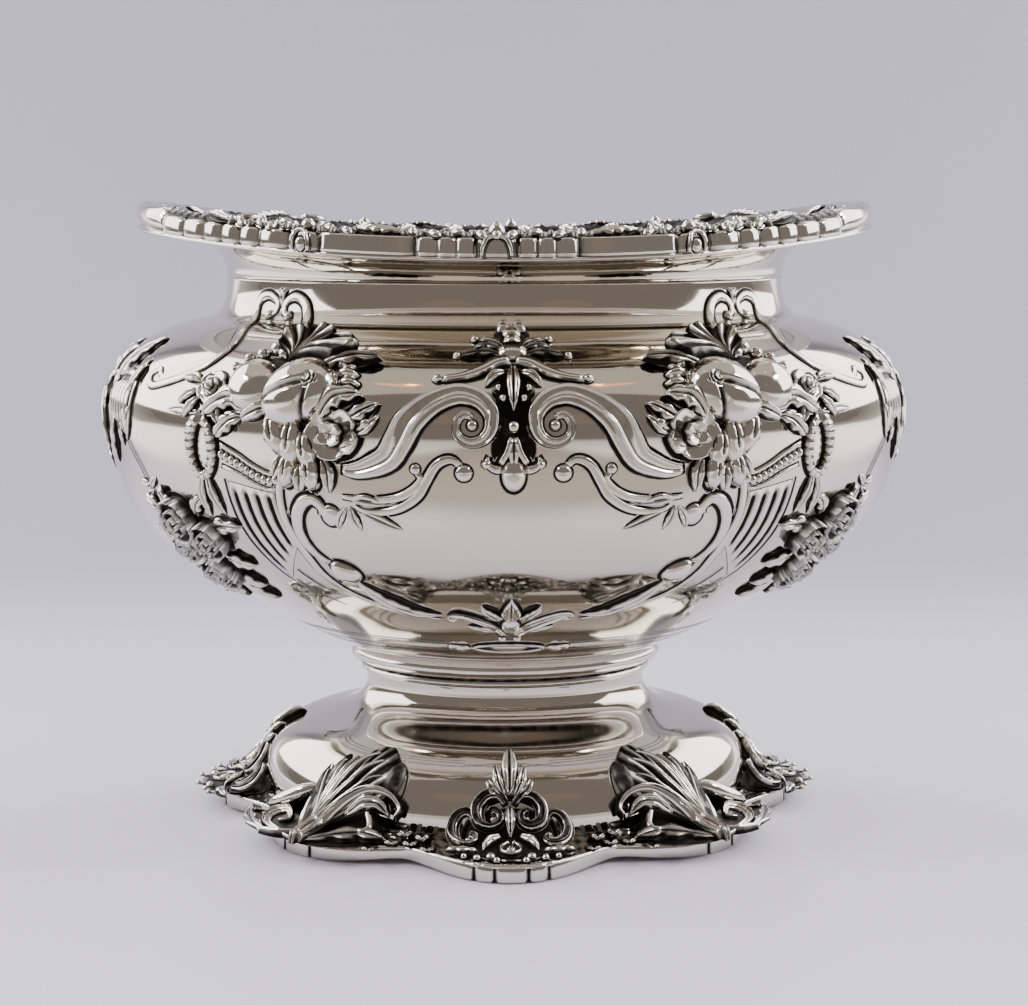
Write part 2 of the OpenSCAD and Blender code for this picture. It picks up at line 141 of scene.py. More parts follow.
# %% Polished sheet silver
# A mirror with a soft edge: nearly white, faintly warm, with shallow waves left
# by the raising hammer about 14 mm apart and wheel marks too fine to see one by one.
SHEET, tree, shader, place = new_material("sheet_silver_polished", {"Metallic": 1, "Base Color": linear("#D0CABF")})
roughness(tree, shader, noise(tree, place, 5, 4), 0.05, 0.10)
bumps(tree, shader, noise(tree, place, 14, 1), 0.25, 0.35)
print("material", SHEET.name)

# %% Cast silver with dark recesses and painted shade
# Rubbed bright on what stands proud and black-brown with sulphide in the
# recesses, on a skin with the slight grain of the casting mould. The same dark
# also paints shade round raised castings and a dark reflection on the foot's
# border, wherever the attribute carries it.
CAST, tree, shader, place = new_material("cast_silver_oxide_and_shade", {"Metallic": 1})
patina_and_shade = add(tree, "ShaderNodeAttribute", {"attribute_name": "patina_and_shade"})
uneven = add(tree, "ShaderNodeMath", {"operation": "MULTIPLY_ADD", 1: 0.5, 2: -0.25}, {0: noise(tree, place, 1.6, 3)})
depth = add(tree, "ShaderNodeMath", {"operation": "ADD"}, {0: patina_and_shade.outputs["Fac"], 1: uneven.outputs[0]})
dark = ramp(tree, depth.outputs[0], 0.12, 0.85)
mix = add(tree, "ShaderNodeMix", {"data_type": "RGBA", 6: linear("#D6D1C9"), 7: linear("#1E1B19")}, {0: dark})
tree.links.new(mix.outputs[2], shader.inputs["Base Color"])
roughness(tree, shader, dark, 0.1, 0.45)
bumps(tree, shader, noise(tree, place, 0.5, 2), 0.12, 0.08)
print("material", CAST.name)

# %% [markdown]
# ## Studio
# A sheet of pale paper runs under the bowl and sweeps up behind it. Two soft
# boxes stand left and right with small lamps beside them, and the dim room
# behind the camera is what the neck and the upper belly mirror. A metal shows
# nothing but its surroundings, so these matter as much as the silver itself.

# %% Paper sweep
# Matt paper, faintly blue and not quite flat. Its colour carries painted shade,
# darker behind the bowl and up the sweep, where less light falls, and darker in
# front of it, in the camera's shade, and painted light, bright far out at the
# sides, where only the neck sees it.
PAPER, tree, shader, place = new_material("paper_pale_grey", {"Roughness": 0.9, "Specular IOR Level": 0.1})
axes = add(tree, "ShaderNodeSeparateXYZ", {}, {0: place})
back = axes.outputs["Y"]
aside = add(tree, "ShaderNodeMath", {"operation": "ABSOLUTE"}, {0: axes.outputs["X"]}).outputs[0]
aside = add(tree, "ShaderNodeMath", {"operation": "MULTIPLY_ADD", 1: -0.35}, {0: back, 2: aside}).outputs[0]
pale = add(tree, "ShaderNodeRGB").outputs[0]
pale.default_value = linear("#E4E1F0")
# Painted shade behind the bowl, painted shade in front of it, and painted light at the far sides.
for colour, start, end, way in [("#A19EAD", -60, 260, back), ("#AFA8A1", -93, -150, back),
                                ("#FFFFFF", 230, 340, aside)]:
    shade = ramp(tree, way, start, end)
    pale = add(tree, "ShaderNodeMix", {"data_type": "RGBA", 7: linear(colour)}, {0: shade, 6: pale}).outputs[2]
tree.links.new(pale, shader.inputs["Base Color"])
bumps(tree, shader, noise(tree, place, 95, 2), 0.3, 9)
HALF_W, HALF_L = 1.6, 1.3  # metres of paper to each side of the bowl
BEND_Y, BEND_R, BEND_RUN = 0.35, 0.32, 0.5  # where the paper starts to sweep up, how round, and over how much of it
bm = bmesh.new()
bmesh.ops.create_grid(bm, x_segments=40, y_segments=120, size=1)
for v in bm.verts:
    run = v.co.y * HALF_L
    past = max(0.0, run - BEND_Y)
    tilt = min(1.0, past / BEND_RUN) * pi / 2
    up = BEND_R * (1 - cos(tilt)) + max(0.0, past - BEND_RUN)
    v.co = (v.co.x * HALF_W, min(run, BEND_Y) + BEND_R * sin(tilt), up)
mesh = bpy.data.meshes.new("paper")
bm.to_mesh(mesh)
bm.free()
paper = bpy.data.objects.new("paper", mesh)
bpy.context.collection.objects.link(paper)
mesh.materials.append(PAPER)
mesh.shade_smooth()
print("paper", len(mesh.polygons), "faces")


# %% Soft boxes and room
def soft_box(name, at, aim, size, watts, colour, shape):
    """Flat light at a place, turned towards a point."""
    data = bpy.data.lights.new(name, "AREA")
    data.shape = shape
    data.size, data.size_y = size
    data.energy = watts
    data.color = linear(colour)[:3]
    light = bpy.data.objects.new(name, data)
    light.location = at
    light.rotation_euler = (Vector(aim) - Vector(at)).to_track_quat("-Z", "Y").to_euler()
    bpy.context.collection.objects.link(light)


BELLY_MIDDLE = (0, 0, 0.06)
# Name, place and size in metres, watts, colour and shape of the lights that stand left and right.
PAIRS = [("box", (0.60, 0.15, 0.40), (0.84, 0.58), 7.6, "#FBFBFF", "RECTANGLE"),
         ("back", (0.27, 0.50, 0.66), (0.14, 0.14), 1.6, "#FFFFFF", "ELLIPSE"),
         ("lamp", (0.56, -0.22, 0.56), (0.15, 0.15), 1.6, "#FFFDF8", "ELLIPSE"),
         ("glow", (0.25, -0.22, 0.72), (0.12, 0.03), 0.016, "#D9702A", "ELLIPSE"),
         ("spark", (0.21, -0.23, 0.72), (0.02, 0.02), 0.02, "#F09A3C", "ELLIPSE"),
         ("wood", (0.30, -0.77, 0.42), (0.30, 0.22), 0.02, "#B4683C", "ELLIPSE")]
soft_box("ceiling", (0, 0, 0.95), (0, 0, 0), (1.3, 1.0), 2.8, "#DCD2C8", "RECTANGLE")
for side in (-1, 1):
    for name, (x, y, z), size, watts, colour, shape in PAIRS:
        soft_box(f"{name}_{side}", (side * x, y, z), BELLY_MIDDLE, size, watts, colour, shape)
world = bpy.data.worlds.new("room")
bpy.context.scene.world = world
world.use_nodes = True
room = world.node_tree.nodes["Background"]
room.inputs["Color"].default_value = linear("#8A837D")
room.inputs["Strength"].default_value = 1
print(1 + 2 * len(PAIRS), "lights")

# %% [markdown]
# ## The sheet: bowl, flange and foot
# The bowl was raised as an oval, 16 mm narrower from front to back than from
# end to end at every height. The easy way to an even oval is to spin the
# outline about the upright axis and then move each ring of points to the oval
# of the same half width. An oval drawn as `h + h'` from its face's direction
# keeps the same distance between any two of its rings, so the sheet stays
# evenly thick, and one function serves for every ring on the object.

# %% Oval and outlines
EASE = 4.0  # a quarter of what the oval is narrower from front to back
CORE_A = 21.0  # inside this half width the ovals only shrink


def oval(a, t):
    """Point of the oval of half width a, in mm, whose face looks t radians round from the front."""
    face = t - pi / 2
    full = max(a, CORE_A)
    h = full - EASE + EASE * cos(2 * face)
    d = -2 * EASE * sin(2 * face)
    share = a / full
    return share * (h * cos(face) - d * sin(face)), share * (h * sin(face) + d * cos(face))


def outline(*spans, steps):
    """Joined cubic curves through (half width, height) points."""
    points = []
    for span in spans:
        points += interpolate_bezier(*[Vector(p).to_3d() for p in span], steps)[1 if points else 0:]
    return [(p.x, p.y) for p in points]


# Half widths and heights in mm where the curves of the outline meet, and points in a curve.
BASE, WIDEST, SHOULDER, NECK, LIP = (27, 27.9), (66.5, 69), (49.2, 83.9), (46.4, 90.5), (57.9, 97.2)
DOME_EDGE, DOME_TOP, STEM = (42.43, 3.4), (33.03, 15.74), (24, 23.3)
SPAN = 40
BELLY = outline([BASE, (55.05, 43.52), (66.5, 48.86), WIDEST], [WIDEST, (66.5, 76), (60.45, 82.4), SHOULDER],
                [SHOULDER, (47.4, 84.4), (46.4, 87), NECK], steps=SPAN)
FOOT = outline([DOME_EDGE, (42.43, 8.57), (40.95, 14.14), DOME_TOP], [DOME_TOP, (28.2, 16.82), (22.9, 17.9), STEM],
               steps=SPAN)
FLANGE = outline([NECK, (46.4, 94.4), (50.08, 96), LIP], steps=16)
print(len(BELLY), "points in the outline of the bowl")


def inside(line, wall):
    """The same outline moved inwards by the thickness of the sheet."""
    moved = []
    for i, p in enumerate(line):
        q, r = line[max(i - 1, 0)], line[min(i + 1, len(line) - 1)]
        d = Vector((r[0] - q[0], r[1] - q[1])).normalized()
        moved.append((p[0] - wall * d.y, p[1] + wall * d.x))
    return moved


def revolve(line, steps, closed=False):
    """Spins a row of points, or a closed loop of them, about Z."""
    bm = bmesh.new()
    verts = [bm.verts.new(p) for p in line]
    edges = [bm.edges.new(pair) for pair in zip(verts, verts[1:] + verts[:closed])]
    bmesh.ops.spin(bm, geom=verts + edges, cent=(0, 0, 0), axis=(0, 0, 1), angle=2 * pi, steps=steps, use_merge=True)
    bmesh.ops.remove_doubles(bm, verts=bm.verts, dist=1e-4)
    return bm


def spun(line, steps):
    """Sheet spun from (half width, height) points, with its rings pressed into ovals."""
    bm = revolve([(a, 0, z) for a, z in line], steps)
    for v in bm.verts:
        v.co = (*oval(hypot(v.co.x, v.co.y), atan2(v.co.y, v.co.x) + pi / 2), v.co.z)
    bmesh.ops.recalc_face_normals(bm, faces=bm.faces)
    return bm


def finish_piece(name, bm, material, *nodes):
    """Makes an object of a bmesh in mm, in metres, and hands it to the frame in place of CAD nodes."""
    for v in bm.verts:
        v.co *= MM
    mesh = bpy.data.meshes.new(name)
    bm.to_mesh(mesh)
    bm.free()
    mesh.materials.append(material)
    mesh.shade_smooth()
    piece = bpy.data.objects.new(name, mesh)
    bpy.context.collection.objects.link(piece)
    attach(piece, "root")
    if nodes:
        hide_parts(*nodes)
    print(name, len(mesh.polygons), "faces")


# %% Bowl
WALL, FLAT_A = 1.1, 20  # thickness of the sheet, and half width of the bowl's flat bottom
bottom = [(0, BASE[1]), (FLAT_A, BASE[1])]
floor = [(FLAT_A, BASE[1] + WALL), (0, BASE[1] + WALL)]
finish_piece("bowl_sheet", spun(bottom + BELLY + inside(BELLY, WALL)[:0:-1] + floor, 256), SHEET, "bowl_body")

# %% [markdown]
# ## Flange and rim
# The neck flares into a flange that dips at front and back like the side of a
# boat. It is spun like the bowl, and then every point is lifted by a share of
# the rise at its angle. The cast border on its edge has a bright outer band
# with scallops and a dark crest of leaves, so it is a ring whose section
# changes from angle to angle.

# %% Flange
FLANGE_A, RIM_Z = LIP
RIM_A, DIP, LIP_T = 61.2, 4.4, 1.2
SPIN_R = 50  # where a ring is spun, before its shape gives the real sizes


def rise(t):
    """How far the rim stands above its mean height."""
    return -DIP / 2 * cos(2 * t)


def ring(points, steps, shape, lay=oval):
    """Spins a closed row of points, then asks shape(t, number) for each one's half width, height and patina."""
    bm = revolve([(SPIN_R, 0, i) for i in range(points)], steps, closed=True)
    dark = bm.verts.layers.float.new("patina_and_shade")
    for v in bm.verts:
        t = atan2(v.co.y, v.co.x) + pi / 2
        a, z, v[dark] = shape(t, round(v.co.z))
        v.co = (*lay(a, t), z)
    bmesh.ops.recalc_face_normals(bm, faces=bm.faces)
    return bm


def flange_shape(t, i):
    """Under side of the flange outwards, then its upper side back to the neck."""
    n = len(FLANGE)
    j = i if i < n else 2 * n - 1 - i
    s = j / (n - 1)
    a, z = FLANGE[j]
    if i >= n:
        a, z = a - WALL * (1 - s), z + LIP_T * s
    return a, z + rise(t) * s, 0


finish_piece("flange_sheet", ring(2 * len(FLANGE), 192, flange_shape), SHEET, "rim_flange")


# %% Cast border of the rim
OUT, RIM_DROP = RIM_A - 0.1, 0.8  # its outermost line, and how far its section reaches under the flange
BAND_Z = [0.55, 0.8, 1.1, 1.5, 1.9, 2.3, 2.7, 3.0, 3.25]
BORDER_N = len(BAND_Z) + 13
CUTS = [2.4, 4.9, 7.2, 9.8, 22.8, 27.4, 32.5, 36.1, 39.9, 44.0, 49.8, 57.5]  # degrees from front or back
NARROW, PLAIN_FROM, TUFT = 8, 56, 2.4  # degrees: arched lobes, the plain ends, and one tuft of the garland's ground
RIM_TWIST = radians(-1.9)


def fold(t):
    """Degrees from the front or the back, whichever is nearer."""
    g = abs(degrees(t)) % 180
    return min(g, 180 - g)


def fold_rim(t):
    """The same for the rim, which was soldered on a little askew."""
    return fold(t - RIM_TWIST)


def scallop(t):
    """Depth of the band behind its outermost line, in mm, the patina of the cuts, and how round the band is."""
    g = fold_rim(t)
    i = bisect(CUTS, g)
    low, high = CUTS[i - 1] if i else -CUTS[0], CUTS[i] if i < len(CUTS) else 180 - CUTS[-1]
    w = min(1, abs(2 * g - low - high) / (high - low))
    narrow = high - low < NARROW
    swell = sqrt(1 - w ** (2 if narrow else 10))
    curve = (0.3 if g > 27 else 0.15) if narrow else 0.9 if g > 57 else -0.16
    return min(1.15, 0.32 * (high - low)) * (1 - swell), max(0, 5 * w - 4.2) if high - low < 14 else 0, curve


def border_shape(t, i):
    """Section of the border: under side, bright scalloped band, groove, and the leafy ground of the garland."""
    low = RIM_Z + rise(t) - RIM_DROP
    deep, cut, curve = scallop(t)
    lip = min(1, max(0, (fold_rim(t) - PLAIN_FROM) / 3))
    tuft = (1 - lip) * (0.5 + 0.5 * cos(fold_rim(t) * 2 * pi / TUFT))
    under = [(FLANGE_A - 2.5, 0.4, 0.3), (FLANGE_A, -0.05, 0), (OUT - 0.9, -0.15, 0), (OUT - 0.25, 0, 0),
             (OUT - 0.05, 0.15, 0), (OUT - 0.1, 0.35, 0)]
    band = []
    for z in BAND_Z:
        arch = 0.75 * max(curve, 0) * ((z - 1.85) / 1.4) ** 2
        lean = (0.16 if curve < 0 else 0.1 * (1 - lip)) * (z - 0.5)
        tall = 1 + 0.25 * lip - 0.2 * min(1, deep) * (curve > 0)
        band.append((OUT - deep - arch - lean, z * tall, cut))
    band[0] = (band[0][0] - 0.25, 0.5, 0.6)
    top = [(OUT - 1.2 - deep * 0.5, 3.3 + 0.85 * lip, 0.95 - 0.4 * lip), (OUT - 1.6, 3.4 + 0.9 * lip, 1 - 0.5 * lip),
           (OUT - 2.2 + 0.3 * tuft, 3.8 + 0.55 * lip + 0.4 * tuft, 0.75 - 0.45 * lip - 0.3 * tuft),
           (OUT - 3.2, 3.9 + 0.3 * lip + 0.3 * tuft, 0.9 - 0.7 * lip - 0.3 * tuft),
           (OUT - 4.4, 3.5, 0.9 - 0.6 * lip), (OUT - 5.6, 2.6, 0.8 - 0.6 * lip), (OUT - 6.2, 1.7, 0.2)]
    a, z, dark = (under + band + top)[i]
    return a, low + z, dark


finish_piece("rim_border_cast", ring(BORDER_N, 1440, border_shape), CAST, "rim_border")

# %% [markdown]
# ## Collar and foot
# A ring with a bead joins bowl and foot. The foot is a dome of sheet that
# flares into a lobed skirt, with a plain bright band to stand on.

# %% Collar and dome
COLLAR = [(21.9, 23.3, 0.2), (24.2, 23.3, 0.8), (24.75, 23.5, 0.1), (24.8, 24.0, 0.1), (24.4, 24.35, 0.8),
          (24.35, 24.7, 0.8), (25.1, 24.8, 0.4), (26.0, 25.2, 0), (26.5, 25.9, 0), (26.55, 26.6, 0),
          (26.2, 27.3, 0), (25.7, 27.65, 0.4), (25.6, 27.9, 1), (21.9, 27.9, 0.5)]
finish_piece("collar_ring_cast", ring(len(COLLAR), 144, lambda t, i: COLLAR[i]), CAST, "collar_ring")
dome = FOOT + inside(FOOT, WALL)[::-1]
finish_piece("foot_dome_sheet", ring(len(dome), 192, lambda t, i: (*dome[i], 0)), SHEET, "foot_dome")

# %% Lobed skirt and rail
DOME_A, SKIRT_Z = DOME_EDGE
FOOT_A, FOOT_EASE, LOBE = 49.8, 3.04, 0.14
RAIL_H, RAIL_GAP, SKIRT_N, SKIRT_SHARE, STAMP = 2.4, 0.9, 12, 0.985, 0.12
NOTCHES, NOTCH_W = [3.0, 6.8, 41.4, 48.6, 83.2, 87.0], 0.45  # degrees


def lobe_edge(t):
    """Lobed edge of the foot: tips at front, back and ends, broad lobes between."""
    c, s = (1 + cos(8 * t)) / 2, sin(2 * t) ** 2
    k = 1 - LOBE * (1 - c ** 0.75) - 0.035 * s * c
    return Vector((k * FOOT_A * sin(t), -k * (FOOT_A - FOOT_EASE) * cos(t)))


def lobed(share, t):
    """Point a share of the way from the dome to the lobed edge, or so many mm inside the dome if negative."""
    if share < 0:
        return oval(DOME_A + share, t)
    return Vector(oval(DOME_A, t)).lerp(lobe_edge(t), share)


def notch(t):
    """Depth, from 0 to 1, of the dark cuts between the blocks on the tips of the rail."""
    g = fold(t)
    return max(exp(-((g - cut) / NOTCH_W) ** 2) for cut in NOTCHES)


def skirt_shape(t, i):
    """Section of the skirt: under the dome, then out over the border to the rail."""
    share = (i - 2) / SKIRT_N
    if i < 2:
        return -0.1, (RAIL_H, SKIRT_Z)[i], 0
    if i > SKIRT_N + 2:
        return SKIRT_SHARE, RAIL_H, 0
    stamp = sin(58 * t + 7 * share) * sin(92 * t - 11 * share)
    z = 3.0 + 0.4 * (1 - share) ** 2 - STAMP + STAMP * stamp
    # The border's dark is partly oxide in its stamped leaves and partly a painted dark reflection of the room.
    return SKIRT_SHARE * share, z, (0.45 - 0.45 * stamp) * (share < 0.95)


RAIL = [(-1.1, 0), (0.93, 0), (0.985, 0.2), (1, 0.6), (1, 1.8), (0.99, 2.5), (0.965, 2.9), (0.93, 3.0), (0.9, 2.9),
        (0.9, RAIL_H), (-1.1, RAIL_H)]


def rail_shape(t, i):
    """Section of the rail: it stands on its tips, clears the table between them and is notched outside."""
    share, z = RAIL[i]
    cut = notch(t) if 0.92 < share else 0
    lift = RAIL_GAP * (0.5 - 0.5 * cos(8 * t)) ** 2 * max(0, 1 - z / 1.8)
    return share - 0.05 * cut if share > 0 else share, z + lift, cut


finish_piece("foot_skirt_cast", ring(SKIRT_N + 4, 960, skirt_shape, lobed), CAST, "foot_skirt")
finish_piece("foot_rail_cast", ring(len(RAIL), 960, rail_shape, lobed), CAST, "foot_rail")

# %% [markdown]
# ## The drawing board
# The castings were bent to the belly, so each is drawn flat first: x runs round
# the girth from the middle of the front panel, y up the outline from the
# widest place, and h stands off the sheet, all in millimetres. `wrap` then
# lays the drawing on the bowl. Only one quarter is drawn. The other three are
# the same drawing laid on in the other directions, as the maker cast four of each.

# %% Skin of the bowl
GIRTH = 74.5  # mm of a drawing for one radian round the bowl


class Skin:
    """Outline measured along its own length, for wrapping a drawing round the bowl."""

    def __init__(self, line, zero):
        self.line = [Vector(p) for p in line]
        run = [0.0]
        for p, q in zip(self.line, self.line[1:]):
            run.append(run[-1] + (q - p).length)
        self.run = [r - run[zero] for r in run]
        self.out = []
        for i in range(len(line)):
            d = self.line[min(i + 1, len(line) - 1)] - self.line[max(i - 1, 0)]
            self.out.append(Vector((d.y, -d.x)).normalized())

    def at(self, y):
        """Half width and height at distance y along the outline, and the way out from it."""
        i = min(max(bisect(self.run, y) - 1, 0), len(self.run) - 2)
        s = (y - self.run[i]) / (self.run[i + 1] - self.run[i])
        near = min(1, max(0, s))
        return self.line[i].lerp(self.line[i + 1], s), self.out[i].lerp(self.out[i + 1], near).normalized()

    def place(self, t, y, h):
        """Point in mm that stands h off the sheet."""
        p, n = self.at(y)
        return Vector((*oval(p.x + h * n.x, t), p.y + h * n.y))

    def stretch(self, x, y):
        """Millimetres of metal for one millimetre of the drawing, sideways."""
        return (self.at(y)[0].x - EASE + 3 * EASE * cos(2 * x / GIRTH)) / GIRTH


SKIN = Skin(BELLY, SPAN - 1)
print("outline from", round(SKIN.run[0], 1), "to", round(SKIN.run[-1], 1), "mm")


# %% Drawings, patches and wrapping
class Drawing:
    """Flat drawing in mm for one skin, with a patina for each point."""

    def __init__(self, skin):
        self.skin = skin
        self.bm = bmesh.new()
        self.dark = self.bm.verts.layers.float.new("patina_and_shade")

    def patch(self, nu, nv, shape):
        """Grid whose points shape(u, v) puts at x, y and h with a patina, facing up."""
        verts = bmesh.ops.create_grid(self.bm, x_segments=nu, y_segments=nv, size=1)["verts"]
        for v in verts:
            x, y, h, v[self.dark] = shape((v.co.x + 1) / 2, (v.co.y + 1) / 2)
            v.co = (x, y, h)
        faces = list({f for v in verts for f in v.link_faces})
        for f in faces:
            f.normal_update()
        if sum(f.normal.z * f.calc_area() for f in faces) < 0:
            bmesh.ops.reverse_faces(self.bm, faces=faces)

    def wrap(self, mirrored=False, turn=0.0):
        """Copy laid on the skin, mirrored left to right or turned round the bowl."""
        bm = self.bm.copy()
        side = -1 if mirrored else 1
        for v in bm.verts:
            v.co = self.skin.place(side * v.co.x / GIRTH + turn, v.co.y, v.co.z)
        if mirrored:
            bmesh.ops.reverse_faces(bm, faces=bm.faces)
        return bm


# %% [markdown]
# ## A kit of ornament
# Nearly everything on the bowl is one of three shapes: a strap that follows a
# path with a moulded section, a leaf, which is a strap that swells and has
# veins, and a round form such as a berry, a fruit or a rose. Each section or
# profile is a short list of places, heights and patina, and it starts and ends
# with a thin dark line on the sheet, as the recess round a casting has.

# %% Straps and leaves
def smooth(points, n):
    """n + 1 evenly spaced points on a smooth curve through the given ones."""
    ends = [Vector(p) for p in points]
    fine = []
    for i in range(len(ends) - 1):
        before, p, q, after = ends[max(i - 1, 0)], ends[i], ends[i + 1], ends[min(i + 2, len(ends) - 1)]
        fine += interpolate_bezier(
            p.to_3d(), (p + (q - before) / 6).to_3d(), (q - (after - p) / 6).to_3d(), q.to_3d(), 17
        )[:-1]
    fine.append(ends[-1].to_3d())
    run = [0.0]
    for p, q in zip(fine, fine[1:]):
        run.append(run[-1] + (q - p).length)
    even, k = [], 0
    for i in range(n + 1):
        goal = run[-1] * i / n
        while k < len(run) - 2 and run[k + 1] < goal:
            k += 1
        even.append(fine[k].lerp(fine[k + 1], (goal - run[k]) / max(1e-9, run[k + 1] - run[k])).to_2d())
    return even


def along(values, u):
    """Value at u, from 0 to 1, in a list of evenly spaced values."""
    i = min(int(u * (len(values) - 1)), len(values) - 2)
    s = u * (len(values) - 1) - i
    return values[i] * (1 - s) + values[i + 1] * s


def both(half):
    """Section that is the same on both sides, from its left half and its middle."""
    return half + [(-side, high, dark) for side, high, dark in half[-2::-1]]


FLAT, RAISED = 0.03, 0.05  # mm over the sheet of what lies on it, and share of the height that counts as raised
STRAP = [
    (-1.36, .03, 0), (-1.24, .03, .6), (-1.08, .03, 1), (-1, .12, 1), (-.95, .75, .25), (-.9, 1, 0),
    (-.83, .98, 0), (-.77, .76, .3), (-.66, .62, .25), (-.45, .57, .2), (-.22, .56, .2), (.02, .58, .2),
    (.16, .64, .2), (.24, .8, 0), (.32, .82, 0), (.38, .66, .5), (.46, .54, .35), (.62, .55, 0), (.8, .5, 0),
    (.92, .38, .1), (1, .1, 1), (1.08, .03, 1), (1.24, .03, .6), (1.36, .03, 0)
]
RIBBON = [
    (-1.15, .03, 1), (-1, .3, 1), (-.92, .85, .5), (-.84, 1, 0), (-.7, .96, 0), (-.6, .8, .6),
    (-.45, .76, .1), (-.1, .78, 0), (.3, .7, 0), (.6, .55, .05), (.8, .38, .3), (.95, .15, 1), (1.15, .03, 1)
]
BAND = both([
    (-1.75, .03, 0), (-1.55, .03, .5), (-1.32, .03, 1), (-1, .06, 1), (-.84, .75, .3), (-.55, 1, 0),
    (0, .96, 0)
])
GROOVE = both([(-2.2, .03, 0), (-1.1, .03, .5), (-.5, .02, 1), (0, .02, 1)])
LEAF = both([
    (-1.35, .03, 0), (-1.18, .03, .3), (-1.06, .02, 1), (-.98, .15, .9), (-.88, .6, .25), (-.7, .85, 0),
    (-.45, .92, 0), (-.2, .75, .1), (-.08, .5, .6), (0, .45, .8)
])
RIB = both([(-1.2, .03, 1), (-1, .2, .9), (-.7, .72, .5), (-.35, .95, 0), (0, 1, 0)])


def strap(d, points, widths, section, relief, detail=None, pitch=0.4, base=0.0):
    """Sweeps a section along a path; detail(u, side) adds height, patina and width."""
    length = sum((Vector(q) - Vector(p)).length for p, q in zip(points, points[1:]))
    n = max(8, round(length / pitch))
    path = smooth(points, n)
    rows = []
    for i, p in enumerate(path):
        k = d.skin.stretch(p.x, p.y)
        way = path[min(i + 1, n)] - path[max(i - 1, 0)]
        way = Vector((way.x * k, way.y)).normalized()
        rows.append((p, Vector((-way.y / k, way.x))))
    widest = max(widths)

    def shape(u, v):
        p, across = rows[round(u * n)]
        side, high, dark = section[round(v * (len(section) - 1))]
        wide = along(widths, u)
        h, more = high * relief * (0.4 + 0.6 * wide / widest), 1
        if detail and high > RAISED:
            up, darken, more = detail(u, side)
            h, dark = h + up, min(1, max(0, dark + darken))
        close = min(1, u * n / 1.5, (1 - u) * n / 1.5)
        q = p + across * (side * wide / 2 * more)
        return q.x, q.y, base + (FLAT + (max(h, 0.02) - FLAT) * close if high > RAISED else FLAT), dark
    d.patch(n, len(section) - 1, shape)


def leaf(d, points, width, lift=0.8, lobes=0, curl=0.0, base=0.0, darken=0.0):
    """Leaf from its stalk to its tip, with a midrib, side veins and a tip that curls up."""
    widths = [width * s for s in (.15, .55, .86, 1, .95, .78, .5, .06)]

    def detail(u, side):
        edge = min(1, abs(side))
        vein = cos(2 * pi * max(lobes, 3) * (u - 0.17 * edge))
        up = lift * (0.3 * sin(pi * u) + curl * u * u + 0.09 * vein * edge)
        return up, darken + max(0, -vein) * 0.5 * edge, 1 + (0.2 * vein if lobes and edge > 0.6 else 0)
    strap(d, points, widths, LEAF, lift, detail, base=base)


def sprig(d, stalk, tip, bow, *how):
    """Leaf from a stalk to a tip that bows aside by so many mm halfway."""
    leaf(d, [stalk, tuple((p + q) / 2 + b for p, q, b in zip(stalk, tip, bow)), tip], *how)


def flip(points, side=1, middle=0, scale=1):
    """Points measured from a middle line, laid to its right or, with side -1, to its left."""
    return [(middle + side * scale * x, y) for x, y in points]


# %% Broad acanthus leaf
ROLL = [(1.03, .78, .1), (1.03, .4, .7), (.98, .08, 1), (1.05, 0, 1), (1.14, 0, 0)]


def acanthus(d, root, stem, edge, lobes, ribs, lift, curl=0.8, base=0.0, darken=0.0):
    """Leaf whose ribs leave the root along the stem, in degrees, and splay to a lobed edge that rolls over."""
    root, k = Vector(root), d.skin.stretch(*root)
    lead = Vector((cos(radians(stem)) / k, sin(radians(stem))))
    m, n = ribs * 6, 20
    rim = smooth(edge, m)
    rows = [(i / n, 1, 0) for i in range(n + 1)] + ROLL

    def shape(u, v):
        w, share, dark = rows[round(u * (len(rows) - 1))]
        lobe = abs(sin(pi * lobes * v)) ** 0.6
        way = (rim[round(v * m)] - root) * (0.74 + 0.26 * lobe)
        bend = lead * (Vector((way.x * k, way.y)).length * 0.62)
        q = root + 2 * w * (1 - w) * bend + w * w * way if w < 1 else root + way * w
        if share == 0 or v in (0, 1):
            return q.x, q.y, FLAT, dark if share == 0 else 1
        rib = cos(2 * pi * ribs * v)
        tip = curl * max(0, min(w, 1) - 0.5) ** 2 * 2.4
        h = lift * (0.3 + 0.7 * sin(min(1, w * 1.1) * pi / 2) + tip - 0.6 * (1 - lobe) * w + 0.16 * rib * sqrt(w))
        darkened = dark + darken + 0.75 * max(0, -rib) + 0.9 * (1 - lobe) ** 2 * w + max(0, 0.5 - 2.5 * w)
        return q.x, q.y, base + h * share, min(1, darkened)
    d.patch(len(rows) - 1, m, shape)


# %% Round forms
DOME = [
    (0, 1, 0), (.25, .97, 0), (.48, .88, 0), (.68, .74, 0), (.83, .56, 0), (.93, .36, .1), (.99, .15, .7),
    (1.03, .03, 1), (1.12, .03, 1), (1.3, .03, 0)
]
PEACH = [(sin(pi * i / 64), cos(pi * i / 64), 0) for i in range(30)] + DOME[6:]


